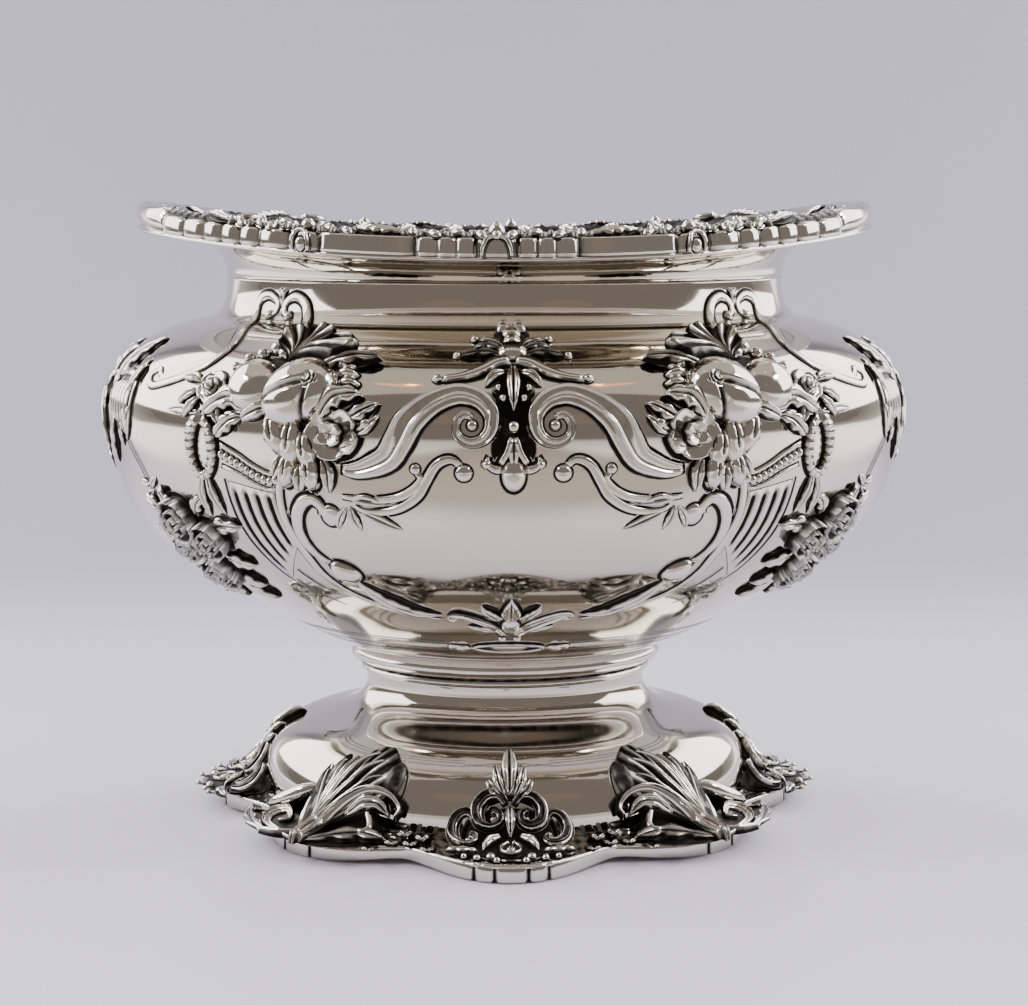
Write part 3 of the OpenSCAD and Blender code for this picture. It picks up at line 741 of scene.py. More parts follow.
def ball(
    d, x, y, rx, ry, tall, turn=0.0, cleft=0.0, around=20, darken=0.0, base=0.0, rows=DOME, eye=(0, 0),
    seams=(0,), groove=0.12
):
    """Round boss; cleft cuts grooves that leave its eye along the seams, in degrees, as on a peach."""
    k = d.skin.stretch(x, y)
    c, s = cos(turn), sin(turn)

    def shape(u, v):
        r, up, dark = rows[round(v * (len(rows) - 1))]
        px, py = r * cos(2 * pi * u), r * sin(2 * pi * u)
        if cleft and up > RAISED:
            cut, ex, ey = 0, px - eye[0], py - eye[1]
            for seam in seams:
                g = radians(seam)
                on, off = ex * cos(g) + ey * sin(g), ey * cos(g) - ex * sin(g)
                cut = max(cut, exp(-(off / groove) ** 2) * (1 if on > 0 else exp(-(on / .2) ** 2)))
            up, dark = up - cleft * cut, min(1, dark + 0.8 * cut)
        dx, dy = px * rx * c - py * ry * s, px * rx * s + py * ry * c
        raised = up > RAISED
        return x + dx / k, y + dy, base + (up * tall if raised else FLAT), max(dark, darken if raised else 0)
    d.patch(around, len(rows) - 1, shape)


def flower(d, x, y, r, tall, layers, rx=1.0, around=48, base=0.0, fade=2.6, rise=0.65):
    """Open flower: rings of cupped petals, each (radius, petals, turn), dark where they go under the next ring."""
    k = d.skin.stretch(x, y)
    reach = [i / 20 for i in range(21)] + [1.03, 1.1, 1.25]

    def shape(u, v):
        g, w = 2 * pi * u, reach[round(v * (len(reach) - 1))]
        h, dark, inner = FLAT, 0 if w > 1.2 else 1, 0
        for level in range(len(layers) - 1, -1, -1):
            size, petals, turn = layers[level]
            lobe = abs(cos(petals / 2 * (g + turn)))
            edge = size * (0.82 + 0.18 * lobe ** 0.6)
            if w <= edge:
                s = (w - inner) / max(1e-6, edge - inner)
                h = tall * (0.35 + rise * level / len(layers) + (0.95 - rise) * s * s - 0.12 * (1 - lobe))
                shadow = 2.4 if rise < 0.5 else 1.2 if inner else 0.5
                dark = max(0, 1 - s * fade) * shadow + 0.9 * max(0, 0.4 - lobe)
                break
            inner = edge
        return x + w * r * rx * cos(g) / k, y + w * r * sin(g), base + h, min(1, dark)
    d.patch(around, len(reach) - 1, shape)


ROSE = [(1.0, 5, 0.3), (0.6, 4, 0.9), (0.28, 3, 0.2)]

# %% [markdown]
# ## Scrolls round the front panel
# A broad channelled strap leaves the fruit, swings up over the panel and curls
# into a volute beside the crest. Under it run two flat bands with sprigs, and a
# C-scroll with an egg-shaped knob and a pod closes the panel at the bottom.

# %% Scrolls of one quarter
d = Drawing(SKIN)
strap(d, [
    (25.6, -4.2), (23.3, -4.3), (21.1, -3.8), (18.1, -2.4), (16.4, 0.1), (14.9, 2.7), (12.5, 4.9), (9.9, 6.3),
    (7.5, 6.8), (4.9, 6), (3.3, 4.2), (3.2, 2.1), (4.3, 0.5), (6.2, 0), (7.9, 1), (8.1, 2.7), (7.1, 3.8),
    (5.9, 3.5)
], [1.4, 2.6, 3.4, 3.9, 4.1, 4.1, 3.6, 3.1, 2.9, 2.7, 2.4, 2, 1.6, 1.3, 1.1, 0.9], STRAP, 1.5)
ball(d, 5.9, 2.4, 0.8, 0.8, 0.7)
strap(d, [
    (7.6, -3.4), (8.6, -2.5), (9.9, -2.6), (11.3, -3.6), (12.6, -5.8), (13.9, -7.9), (16.2, -9.6),
    (18.5, -10.4), (21.4, -10.6), (23.7, -9.9)
], [0.9, 1.3, 1.4, 1.4, 1.4, 1.3, 1.2, 1, 0.7], BAND, 0.45)
ball(d, 7.1, -4.4, 1.25, 1.25, 0.8)
strap(d, [
    (13.9, -4.4), (13.3, -5.4), (14.6, -7), (16.8, -8.2), (20.1, -8.7), (22.7, -8.6), (25.6, -8.4)
], [0.9, 1.2, 1.3, 1.2, 1.1, 0.9, 0.7], BAND, 0.4)
ball(d, 14.1, -3.9, 0.8, 0.8, 0.6)
for stalk, tip, wide in [
    ((24.3, -8.7), (18.9, -9.3), 1.9), ((22.7, -10.7), (16.5, -13.4), 1.8),
    ((24.4, -9.8), (23.1, -13.9), 1.6), ((25, -10), (27, -13.8), 1.5)
]:
    sprig(d, stalk, tip, (0.3, 0.3), wide, 0.5)
strap(d, [
    (29.4, -11.6), (29.3, -10.2), (30.8, -9), (32.8, -9.9), (34.1, -12.3), (34.1, -15.5), (32.8, -18.3),
    (30.6, -20.6)
], [1.1, 1.7, 2, 2, 1.8, 1.6, 1.3, 1.1], BAND, 0.55)
ball(d, 27.9, -11.5, 1.55, 1.75, 0.6)
ball(d, 28.2, -22.3, 2.7, 1.9, 1.6, turn=radians(48))
leaf(d, [(27.2, -24.6), (24.6, -28.5), (21.7, -31.5), (18.5, -33.8), (13.6, -35.1)], 2.8, 0.9)
strap(d, [
    (35.7, -5.2), (36.5, -8.3), (36.5, -12), (35.6, -15.9), (34.4, -19.6), (33.1, -24), (29.8, -29),
    (22.7, -34), (14.2, -37.3)
], [1.2, 1.3, 1.3, 1.3, 1.2, 1.2, 1.2, 1.1, 0.8], BAND, 0.4)
# Where a casting goes: its place, whether it is mirrored, and how far it is turned round the bowl.
QUARTERS = [
    ("front_left", True, 0), ("front_right", False, 0), ("back_left", False, pi), ("back_right", True, pi)
]
FRONT_BACK = [("front", False, 0), ("back", False, pi)]
ENDS = [("left", False, pi), ("right", False, 0)]


def repeat(drawing, name, places, node=None, made="cast"):
    """The same casting at each of the places, instead of the CAD nodes named for them."""
    for where, mirrored, turned in places:
        nodes = [f"{node}_{where}"] if node else []
        finish_piece(f"{name}_{where}_{made}", drawing.wrap(mirrored, turned), CAST, *nodes)


repeat(d, "scroll", QUARTERS, "scroll")

# %% [markdown]
# ## Fruit
# A peach with its cleft, a second fruit behind it, berries, an open flower and
# leaves that droop over the scroll. They stand three or four millimetres proud
# and overlap, so each is drawn on its own and set at its own height.

# %% Fruit of one quarter
d = Drawing(SKIN)
# Flat dark ground under the fruit: oxide in the recessed ground and painted shade round the raised fruit.
ball(d, 37.6, 8.8, 6.6, 4.4, 0.3, around=40, darken=0.9)
acanthus(d, (37, 11), 108, [
    (40.2, 13.6), (38.8, 16.2), (35.4, 17.6), (31.4, 17.2), (27.6, 15.8), (25, 13.8), (27, 12)
], 3, 9, 1.6, 1.3, 0.6, 0.35)
leaf(d, [(31, 10.4), (26, 12.2), (20.4, 12.4)], 2.6, 1.2, 3, 0.5, 0.5, 0.3)
ball(d, 42.2, 7.4, 4.3, 4.2, 3.1, turn=radians(150), around=36)
ball(
    d, 33.1, 6.6, 6.2, 4.8, 4.3, turn=radians(145), cleft=0.17, around=72, rows=PEACH, eye=(0.37, 0.23),
    seams=(204, 128), groove=0.075
)
flower(d, 30.5, 7.4, 1.05, 0.5, [(1, 5, 0.2), (0.5, 3, 0.5)], base=3.4, around=30, fade=1)
for x, y, r in [
    (41.5, 14.6, 1.25), (43.8, 13.2, 1), (46.4, 12.3, 0.8), (48.2, 10.6, 0.7), (39.2, 13.4, 1.1),
    (21.4, 2.4, 1)
]:
    ball(d, x, y, r, r, 1.3 * r)
for x, y in [(26.3, 11.3), (25.6, 9.7), (25, 8.1)]:
    ball(d, x, y, 1.7, 0.9, 1.7, darken=0.2)
leaf(d, [(28.8, 2.6), (26.4, 5.6), (22.2, 6.2)], 3.2, 1.4, 3, 0.6, 0.6)
leaf(d, [(25, 2.4), (22.4, 3.8), (19.4, 5.2)], 2.2, 1.1, 2, 0.5, 0.2, 0.15)
leaf(d, [(23.4, 1), (21.6, 1.6), (19.4, 3.6)], 1.8, 0.9, 0, 0.4)
leaf(d, [(41.4, 3.4), (46, 5), (51.4, 2.4)], 3.2, 1.3, 3, 0.5, 0.3)
leaf(d, [(43, 2.6), (45.4, 1.8), (48.6, -0.8)], 2.6, 1.1, 3, 0.5)
flower(d, 26.6, 0.8, 3.8, 2.5, [(1, 5, 0.2), (0.42, 4, 0.6)], rx=1.08, around=64)
for x, y, rx, ry, turned in [
    (36.2, 0.6, 3.2, 1.8, 70), (33.4, -0.6, 3.6, 1.9, 95), (30.8, -1.6, 3, 1.6, 80),
    (34.2, -4.6, 2.8, 1.5, 100), (30.2, -4.8, 2.8, 1.5, 85)
]:
    ball(d, x, y, rx, ry, 2.4, turn=radians(turned), cleft=0.2, around=28)
for stalk, tip, wide, lift in [
    ((34, 3.4), (38.4, -1), 2.5, 1.3), ((35, -2), (37, -6), 2.2, 1.2), ((32.4, -3.4), (32.2, -8), 2.4, 1.5),
    ((28.4, -2.4), (27.4, -8), 2.3, 1.1), ((37, 4.2), (43.2, 2), 2.5, 1.3),
    ((38.4, 5.8), (45.6, 4.6), 2.4, 1.2), ((44.4, 7), (48.4, 3), 2.2, 1), ((44.6, 8.6), (47.6, 10.4), 2.2, 1),
    ((50.4, 4.6), (47.8, 1), 2.2, 1), ((53.6, 5.2), (57, 1.6), 1.7, 0.8), ((54.4, 6.2), (59, 3.6), 1.6, 0.8),
    ((54.4, 7.4), (59.8, 7.6), 1.8, 0.9)
]:
    sprig(d, stalk, tip, (-0.5, 0.5), wide, lift, 0, 0.35)
flower(d, 51.2, 6.6, 2.7, 1.5, [(1, 5, 0.5), (0.55, 5, 0), (0.25, 3, 0.4)])
leaf(d, [(53, 2.6), (58, 3), (62.4, 2.6)], 1.6, 0.5)
repeat(d, "fruit", QUARTERS, "fruit")

# %% [markdown]
# ## Flutes, beads and ribbon
# Beside the C-scroll a fan of slots runs down from a slanted row of beads, and a
# ribbon loop hangs outside it. The slots are dark lines let into raised ribs.

# %% Flutes of one quarter
d = Drawing(SKIN)


def flute_panel(d, inner, outer, slots):
    """Ribs with dark slots between two edges, which run together at the bottom."""
    n, m = 48, slots * 8
    edges = smooth(inner, n), smooth(outer, n)

    def shape(u, v):
        i = round(u * n)
        p = edges[0][i].lerp(edges[1][i], v)
        wave = 0.5 - 0.5 * cos(2 * pi * slots * v)
        ends = min(1, u * 9, (1 - u) * 5)
        cut = max(0, min(1, (wave - 0.45) * 5)) * ends
        if v in (0, 1):
            return p.x, p.y, FLAT, 0
        return p.x, p.y, 0.05 + 0.34 * min(1, ends + 0.3) * (1 - cut), cut
    d.patch(n, m, shape)


flute_panel(
    d, [(37.6, -8.6), (37, -13), (35.8, -17.5)], [(46.9, -7.2), (45.8, -13.9), (43.9, -19.5), (41.2, -25.5)],
    4
)
for edge in [
    [(47.6, -6.9), (46.5, -14), (44.6, -20), (41.6, -26.4), (37, -31.5)],
    [(40.6, -26), (37.8, -30), (34, -33.6)], [(38.6, -23), (36, -27), (33.2, -30)]
]:
    strap(d, edge, [0.45, 0.5, 0.4, 0.2], GROOVE, 0.05)
strap(d, [(48.2, -1.5), (44.3, -2.9), (41.2, -4.4), (38, -5.5), (35.9, -5.3)], [0.7, 0.7, 0.6], BAND, 0.5)
strap(d, [(48, -4.9), (44.3, -5.9), (41.2, -7.2), (38.2, -8), (36.8, -7.6)], [0.6, 0.6, 0.5], BAND, 0.4)
for p in smooth([(47.6, -3.2), (44.2, -4.4), (41.2, -5.8), (38.2, -6.7), (36.9, -6.4)], 10):
    ball(d, p.x, p.y, 0.6, 0.75, 0.75, around=12)


def twisted(u, side):
    """Strands of a twisted ribbon."""
    wave = cos(36 * pi * u)
    return 0.16 * wave, 0.55 * max(0, -wave), 1


loop = [(52.3 + 2.7 * sin(g), -2.4 + 4.3 * cos(g)) for g in [radians(24 * i) for i in range(16)]]
strap(d, loop, [1.7, 2, 1.7, 1.5, 1.7, 2, 1.7], BAND, 1, twisted)
leaf(d, [(51.6, -6), (50.6, -9.5), (49, -13)], 1.8, 0.7)
leaf(d, [(52.6, -6.2), (53.4, -9.6), (52.8, -13.4)], 1.7, 0.7)
strap(d, [
    (79.4, -3.4), (78, -1.4), (77.2, 1.6), (77.2, 4.8), (78.2, 8), (77.6, 10.6)
], [0.5, 0.8, 0.9, 0.9, 0.8, 0.5], RIB, 0.5)
leaf(d, [(79.8, 3.6), (78.6, 6.6), (77, 9.4)], 2.2, 0.7, 0, 0.2)
# Flat dark ground behind the ribs: oxide in the recessed ground and painted shade between the raised ribs.
ball(d, 85.2, 2.4, 5.4, 4.4, 0.12, around=36, darken=0.75)
strap(d, [(78.4, 6.6), (82, 7.4), (87, 7.4), (92, 6.4)], [0.8, 1.3, 1.3, 0.8], BAND, 0.6)
for x in (79.8, 82, 84.2, 86.4, 88.6, 90.8):
    strap(d, [(x, 6), (x + 0.3, 2.6), (x + 0.2, -0.8)], [1.4, 2, 1.2], RIB, 0.5)
leaf(d, [(94, 4), (89.6, 10), (83.4, 15.6)], 5.6, 0.6, 5, 0.2, 0.05, 0.15)
leaf(d, [(88, 0.4), (88.6, -3.6), (88.2, -7.6)], 2.6, 0.6, 0, 0.1, 0, 0.2)
leaf(d, [(82, 0), (82, -2), (81.6, -4.4)], 1.8, 0.5, 0, 0.1, 0, 0.2)
for line in ([(80, -3.2), (74.6, -7), (70.9, -11.3)], [(78.4, -3), (73.2, -6.8), (69.7, -11.1)]):
    strap(d, line, [0.35, 0.35], GROOVE, 0.05)
for stalk, tip in [
    ((79.4, -2.6), (81.4, 2.2)), ((79.2, -2.6), (78.4, 2.4)), ((71.4, -9.6), (75.4, -9.4)),
    ((70.6, -10.6), (73.4, -12.6)), ((70.8, -10.4), (68, -8.2))
]:
    sprig(d, stalk, tip, (0.3, 0), 1.5, 0.45)
repeat(d, "flutes", QUARTERS, "flutes")

# %% [markdown]
# ## Roses and pediment
# Roses sit low on the belly at the sides. Above them a flat double line climbs
# from the shoulder into two small curls under the neck, like a broken pediment.

# %% Roses of one quarter
d = Drawing(SKIN)
# Flat dark ground under the roses: oxide in the recessed ground and painted shade round the raised roses.
ball(d, 61.4, -20.4, 5.4, 7.6, 0.3, around=40, darken=0.8)
for stalk, tip, wide in [
    ((55, -16), (46.1, -14.6), 2.8), ((56, -22), (47.9, -23), 3), ((58, -26), (50.9, -29), 3),
    ((60, -28), (52, -33.4), 2.8), ((57, -14), (53.6, -10.2), 2.4), ((64, -13.6), (67, -9.4), 2.4),
    ((68, -14), (74, -11.6), 2.6), ((70, -19), (76.4, -18), 2.8), ((70, -26), (77, -28), 2.8),
    ((64, -30), (67, -35), 2.8)
]:
    sprig(d, stalk, tip, (0.4, 0.6), wide, 0.9, 3, 0.3)
for x, y, r, tall in [
    (62.6, -14.6, 3.8, 2.6), (55.4, -17.6, 3.3, 2.5), (60.4, -25.2, 3.9, 2.6), (67, -20.6, 2.7, 1.9)
]:
    flower(d, x, y, r, tall, ROSE, fade=1, rise=0.2)
repeat(d, "roses", QUARTERS, "roses")

# %% Pediment of one quarter
d = Drawing(SKIN)
strap(d, [
    (60, 27), (58.2, 27.8), (58.4, 29.3), (62.5, 30.3), (66.6, 29.4), (66.6, 27), (61.7, 22.6), (55.4, 17),
    (54.2, 13.4), (56.5, 10.2), (61, 8), (66, 6.6), (70.5, 6), (72.4, 7.6), (70.4, 8.8), (68.8, 7.8)
], [0.9, 1.2, 1.5, 1.6, 1.6, 1.6, 1.6, 1.5, 1.4, 1.2, 1.1, 1, 0.8], BAND, 0.45)
strap(d, [
    (53, 27), (55, 27.8), (54.8, 29.3), (51.6, 30.2), (48, 29), (45.4, 25.4), (42, 21), (39.6, 17.4)
], [0.9, 1.2, 1.5, 1.6, 1.6, 1.6, 1.5, 1.3], BAND, 0.45)
for x in (60.2, 52.8):
    ball(d, x, 27, 0.85, 0.85, 0.8)
for bend, tip in [((56.4, 30.4), (58.4, 31.4)), ((56.2, 30.6), (54.6, 31.4))]:
    leaf(d, [(56.6, 28.6), bend, tip], 1.3, 0.5)
repeat(d, "pediment", QUARTERS, "pediment")

# %% [markdown]
# ## Crest, lower palmette and pendants
# The crest on the middle of the front stacks a knob, spread leaves, an arched
# leaf, a bead and a bell-shaped husk. A palmette and a belt close the panel at
# the bottom, and a pendant of the same kind hangs on each end of the oval.

# %% Crests
d = Drawing(SKIN)
# Flat dark grounds behind the crest: oxide in the recessed ground and painted shade round the raised parts.
for y, rx, ry in ((6, 2.6, 5.6), (16, 4, 3.2), (21.4, 2.2, 3.6), (-0.8, 2.7, 3)):
    ball(d, 0, y, rx, ry, 0.12, around=36, darken=0.85)
for s in (-1, 1):
    for path, wide, lift, curl, darken in [
        ([(0.8, 15.6), (3.4, 17.4), (6, 18.4)], 1.8, 0.8, 0.3, 0.5),
        ([(1, 13.8), (4.4, 14.6), (8.4, 13.8)], 1.8, 0.8, 0.3, 0.5),
        ([(0.9, 14.6), (3.6, 16.1), (6.4, 16.1)], 1.6, 0.9, 0.2, 0.45)
    ]:
        leaf(d, flip(path, s), wide, lift, 3, curl, darken=darken)
    leaf(d, flip([(0.8, 10.6), (2.8, 9.8), (4.2, 8)], s), 1.6, 1, 0, 0.3)
    strap(
        d, flip([(0.2, 12.8), (2.6, 12.2), (5, 10.6), (7.8, 9.6), (10.8, 9.2)], s), [1.5, 1.6, 1.4, 1, 0.8],
        BAND, 1.4
    )
    strap(d, flip([(0.3, 1), (0.9, -1.2), (2.1, -3.2)], s), [0.9, 1, 1], BAND, 1.5)
    strap(d, flip([(1.4, -3.9), (2.8, -3.6), (3.7, -2.8), (3.4, -1.9)], s), [1.2, 1.2, 1, 0.8], BAND, 1.2)
    for x, y, rx, ry, tall in [
        (6.3, 18.7, 0.6, 0.6, 1), (8.8, 13.9, 0.6, 0.5, 1), (11.2, 9.3, 0.85, 0.65, 1.1),
        (2.2, 7.8, 0.6, 0.6, 1.2), (1.5, 6.2, 0.65, 0.65, 1.2), (3.8, -3, 0.8, 0.75, 1.3)
    ]:
        ball(d, s * x, y, rx, ry, tall, around=12)
    for y in (24.7, 22.9):
        ball(d, s * 1.45, y, 1.05, 1, 1.6, around=16)
for y, rx, ry, tall, around in [
    (21.2, 1.4, 1.5, 1.5, 16), (18.6, 1.3, 1.7, 1.4, 16), (15, 2.3, 1.8, 1.5, 24), (2.2, 0.95, 0.95, 1.3, 20),
    (-4.6, 1.75, 2.5, 1.5, 24)
]:
    ball(d, 0, y, rx, ry, tall, around=around)
ball(d, 0, 15.6, 1.2, 0.6, 0.3, around=16, darken=0.9, base=1.3)
leaf(d, [(0, 12), (0, 8.4), (0, 4.4)], 2.2, 1.3, 0, 0.2, darken=0.1)
leaf(d, [(0, 0.6), (0, -1.6), (0, -3.6)], 1.8, 1.2, 0, 0.1)
repeat(d, "crest", FRONT_BACK, "crest")

# %% Lower palmettes and belt
d = Drawing(SKIN)
for s in (-1, 1):
    strap(d, flip([
        (1.2, -44), (3.4, -40), (7, -36.6), (10.4, -34.6), (12, -35.6), (10.6, -36.8)
    ], s), [0.8, 1.4, 1.8, 1.7, 1.3, 0.9], STRAP, 0.9)
    leaf(d, flip([(1.6, -36.4), (3.8, -34), (5.6, -31.4)], s), 2, 0.8, 0, 0.3)
    leaf(d, flip([(2.6, -42), (6.4, -40.2), (9.4, -39.8)], s), 1.7, 0.6)
    for x, y, rx, ry, tall, around in [
        (12.6, -50.6, 1.2, 0.9, 0.9, 16), (15, -50.4, 0.9, 0.8, 0.7, 16), (1.8, -45.4, 0.6, 0.55, 0.8, 12)
    ]:
        ball(d, s * x, y, rx, ry, tall, around=around)
leaf(d, [(0, -37), (0, -33.4), (0, -29.2)], 3.2, 0.9, 0, 0.3)
ball(d, 0, -39.2, 1.5, 2.3, 1.3)
hoop = [(9.4 * cos(radians(20 * i)), -50.9 + 1.9 * sin(radians(20 * i))) for i in range(19)]
strap(d, hoop, [0.7, 0.7], BAND, 0.5)
ball(d, 0, -50.9, 3, 0.9, 0.6)
repeat(d, "lower_palmette", FRONT_BACK, "spray")
d = Drawing(SKIN)
for y, wide in ((-48.4, 0.35), (-49.6, 0.3), (-52.4, 0.4), (-54.6, 0.35)):
    line = [(x, y) for x in (16.4, 40, 80, 120, 160, GIRTH * pi - 16.4)]
    strap(d, line, [wide, wide], GROOVE, 0.05, pitch=1.2)
repeat(d, "belt", ENDS, made="engraved")

# %% Pendants on the ends
d = Drawing(SKIN)
END = GIRTH * pi / 2
for s in (-1, 1):
    strap(d, flip([
        (14, -6), (13, -2), (9, 2.2), (4.6, 2.6), (2.6, 0.2), (4, -1.8), (6.2, -0.8), (5.4, 0.8)
    ], s, END), [0.9, 1.7, 2.1, 1.9, 1.6, 1.3, 1, 0.8], STRAP, 1)
    for path, wide, lift, lobes, darken in [
        ([(2, 4), (9, 9.4), (17, 12)], 3.4, 0.7, 4, -0.2),
        ([(2, 2.4), (10, 5.2), (18.6, 6.8)], 3, 0.6, 4, -0.2),
        ([(1, -3), (3.4, -6), (3.8, -10)], 2.4, 0.7, 0, -0.2),
        ([(3, -4), (8, -6.6), (11.4, -10.4)], 2.6, 0.6, 3, -0.2),
        ([(8, -4), (12, 3), (13, 12)], 4.4, 0.6, 4, -0.1)
    ]:
        leaf(d, flip(path, s, END), wide, lift, lobes, 0.1, darken=darken)
ball(d, END, 1.2, 1.7, 1.8, 1.4)
for heights, wide in (((3, 8, 13.4), 5), ((-1, -7, -14.4), 4.2)):
    leaf(d, [(END, y) for y in heights], wide, 0.9, 3, 0.1, darken=-0.3)
repeat(d, "pendant", ENDS, "pendant")

# %% [markdown]
# ## Crest of the rim
# On the rim's bright band sit small arched bells, and above it runs a garland
# of curled leaves, beads and buds that the polishing wheel only touches on top.
# The rim is bent like the bowl, so its garland is drawn flat in the same way,
# with y running from the rim's lower edge up the band and in over the top.

# %% Garland of one quarter
class RimSkin(Skin):
    """Skin of the rim, which rises towards the ends of the bowl."""

    def place(self, t, y, h):
        return super().place(t + RIM_TWIST, y, h) + Vector((0, 0, rise(t + RIM_TWIST)))


LOW = RIM_Z - RIM_DROP
RIM_LINE = [
    (0.1, 0.4), (0, 1), (0, 2.2), (0.3, 3), (1.2, 3.5), (2.2, 3.8), (3.2, 4), (4.4, 3.6), (5.6, 2.7),
    (6.4, 1.8)
]
RIM_SKIN = RimSkin([(OUT - deep, LOW + z) for deep, z in RIM_LINE], 0)
DEGREE = GIRTH * pi / 180  # drawing's mm for one degree
d = Drawing(RIM_SKIN)
ARCH = [(-2, 0.1), (-1.9, 1.4), (-1.2, 2.7), (0, 3.2), (1.2, 2.7), (1.9, 1.4), (2, 0.1)]
BELL = 25.1  # degrees from the middle of the front, where the second bell sits
strap(d, flip(ARCH[3:], scale=1.15), [0.6, 0.6, 0.55], BAND, 0.7, pitch=0.25)
strap(d, flip(ARCH, 1, BELL * DEGREE, 0.8), [0.55, 0.6, 0.6, 0.55], BAND, 0.6, pitch=0.25)
ball(d, BELL * DEGREE, 1.1, 0.9, 1.1, 0.5, around=16)
ball(d, BELL * DEGREE, 5, 1.1, 1, 1.3, around=20)
for i in range(40):
    place = 1.9 + 0.95 * i
    if not 11.6 < place < 17.4 and abs(place - BELL) > 1.3:
        size = 0.62 + 0.16 * cos(2.1 * i)
        ball(
            d, place * DEGREE, 4.0 + 0.9 * (i % 2), 1.7 * size, 0.95 * size, 1.0 * size,
            radians(62 + 30 * sin(1.7 * i)), around=14, darken=0.62 if i % 3 else 0.25
        )
for place, end, y in [
    (1.2, 5.2, 9), (8.2, 12.4, 9), (16.4, 20.6, 9), (24.4, 28.6, 9), (32.6, 37, 9), (41, 46, 9),
    (50, 56, 8.6), (74, 66, 8.4), (76, 86, 8.4)
]:
    path = [(place, 6.4), ((place + end) / 2, 8.2), (end, y)]
    leaf(d, flip(path, scale=DEGREE), 2.2, 0.8 if place < 30 else 0.4, 2, 0.35)
leaf(d, flip([(11.2, 4.2), (14, 4.4), (18, 4.8)], scale=DEGREE), 2.2, 0.8, 5, 0.2)
curl = [(33, 5.4), (34.4, 6.2), (36.4, 5.8), (37, 4.6), (35.6, 3.9)]
strap(d, flip(curl, scale=DEGREE), [0.8, 1.1, 1.1, 0.8], BAND, 1.1, pitch=0.3)
for rib in range(4):
    path = [
        (38.0 + rib * 1.2, 4.0 + rib * 0.15), (41.4 + rib * 1.6, 4.6 + rib * 0.5),
        (45.4 + rib * 1.7, 5.4 + rib * 0.7)
    ]
    leaf(d, flip(path, scale=DEGREE), 1.5, 1.1 - 0.15 * rib, 0, 0.3)
repeat(d, "rim_garland", QUARTERS)
d = Drawing(RIM_SKIN)
ball(d, 0, 5.2, 1.2, 1.2, 1.7, around=20)
ball(d, 0, 3.4, 0.8, 0.7, 1, around=16)
repeat(d, "rim_knob", FRONT_BACK)

# %% [markdown]
# ## Leaves and cartouches of the foot
# Four acanthus leaves grow from the lobes of the foot. Their fronds fan over
# the border and up the dome, and the tips curl off it. Between them stand four
# cartouches: a pointed bud over two volutes, with smaller scrolls outside.
# The drawing runs in over the border and up the dome, round a soft cove, so
# that the castings bridge the corner as the real ones do.

# %% Skin of the foot
class FootSkin(Skin):
    """Cove from the border to the dome; what lies flat is laid on the metal itself."""

    def __init__(self, line, zero, down, up, near):
        self.metal = Skin(line, zero)
        soft = []
        for i in range(-down, up):
            around = [self.metal.at((i + j) / 2)[0] for j in range(-near, near + 1)]
            soft.append(sum(around, Vector((0, 0))) / len(around))
        super().__init__(soft, down)

    def place(self, t, y, h):
        return self.metal.place(t, y, h) if h <= FLAT else super().place(t, y, h)


BORDER_W, BORDER_Z = 14, 3.1
border = [(DOME_A + BORDER_W - i / 2, BORDER_Z) for i in range(2 * BORDER_W)]
FOOT_SKIN = FootSkin(border + FOOT, len(border), down=27, up=44, near=15)

# %% Acanthus leaf of one quarter
d = Drawing(FOOT_SKIN)
# Flat dark grounds under the leaf: oxide in the recessed ground and painted shade round the raised fronds.
ball(d, 42, -4, 7, 5.6, 0.3, around=40, darken=0.85)
ball(d, 58, -4.6, 4.6, 3.6, 0.2, around=32, darken=0.7)
acanthus(d, (45.2, -11.2), 76, [
    (30.2, 4.2), (28.4, 6.8), (29, 9.6), (33, 11.6), (38.4, 11.8), (43.4, 10.6)
], 1, 8, 1.2, 0.8, 0.2, 0.55)
leaf(d, [(46.6, -7), (49.8, 1.2), (51.6, 5.2), (52, 8.8)], 5.8, 1, 0, 0.4, 0.2, 0.75)
leaf(d, [(46.4, -7), (48.6, 2.4), (47.8, 7), (46.6, 10.8)], 5.2, 1.1, 0, 0.4, 0.3, 0.7)
leaf(d, [(45, -9), (40, -5.6), (34, -3.4), (27.4, -3.8)], 4.2, 0.8, 3, 0.3, 0.1, 0.4)
ball(d, 29.8, 7.2, 1.9, 3.4, 2.2, turn=radians(12), around=32, darken=0.7)
leaf(d, [(41, -0.6), (37, 2.2), (32.6, 2.8), (28.8, 1)], 3, 1.6, 0, 0.2, 0.2)
strap(d, [
    (44.6, -10), (45, -3.2), (42.2, 1), (38, 3.8), (33.6, 4.8), (29.2, 4.2), (26.4, 2.2), (27.2, 0.4)
], [0.8, 1.3, 1.5, 1.6, 1.6, 1.5, 1.2, 0.8], RIBBON, 2.7, pitch=0.3, base=0.3)
for path, high in [
    ([(46, -11), (47.2, -4), (45.6, 1.8), (42, 5.6), (38, 8.4), (33.2, 9.8)], 2.7),
    ([(45.2, -11), (46, -3.8), (43.8, 0.8), (39.8, 4.4), (36.2, 6.6), (32.6, 7.4)], 2.8),
    ([(46.4, -8), (47.8, -1), (46.4, 3.4), (43.6, 7), (40, 9.6), (35.4, 11)], 2.6),
    ([(46.8, -6), (48.4, 0.2), (47, 4.6), (44.8, 8), (42.2, 10.2)], 2.5),
    ([(47.2, -5), (49, 1.8), (48, 6.4), (46.8, 9.6)], 2.1),
    ([(47.4, -6), (50.2, 1.4), (51.6, 5.2), (51.8, 7.6)], 1.9),
    ([(57, -10), (51, -9.4), (46.8, -7.4), (45, -4)], 1.5)
]:
    strap(d, path, [0.5, 0.8, 0.9, 0.9, 0.8, 0.5], RIB, high, pitch=0.3, base=0.1)
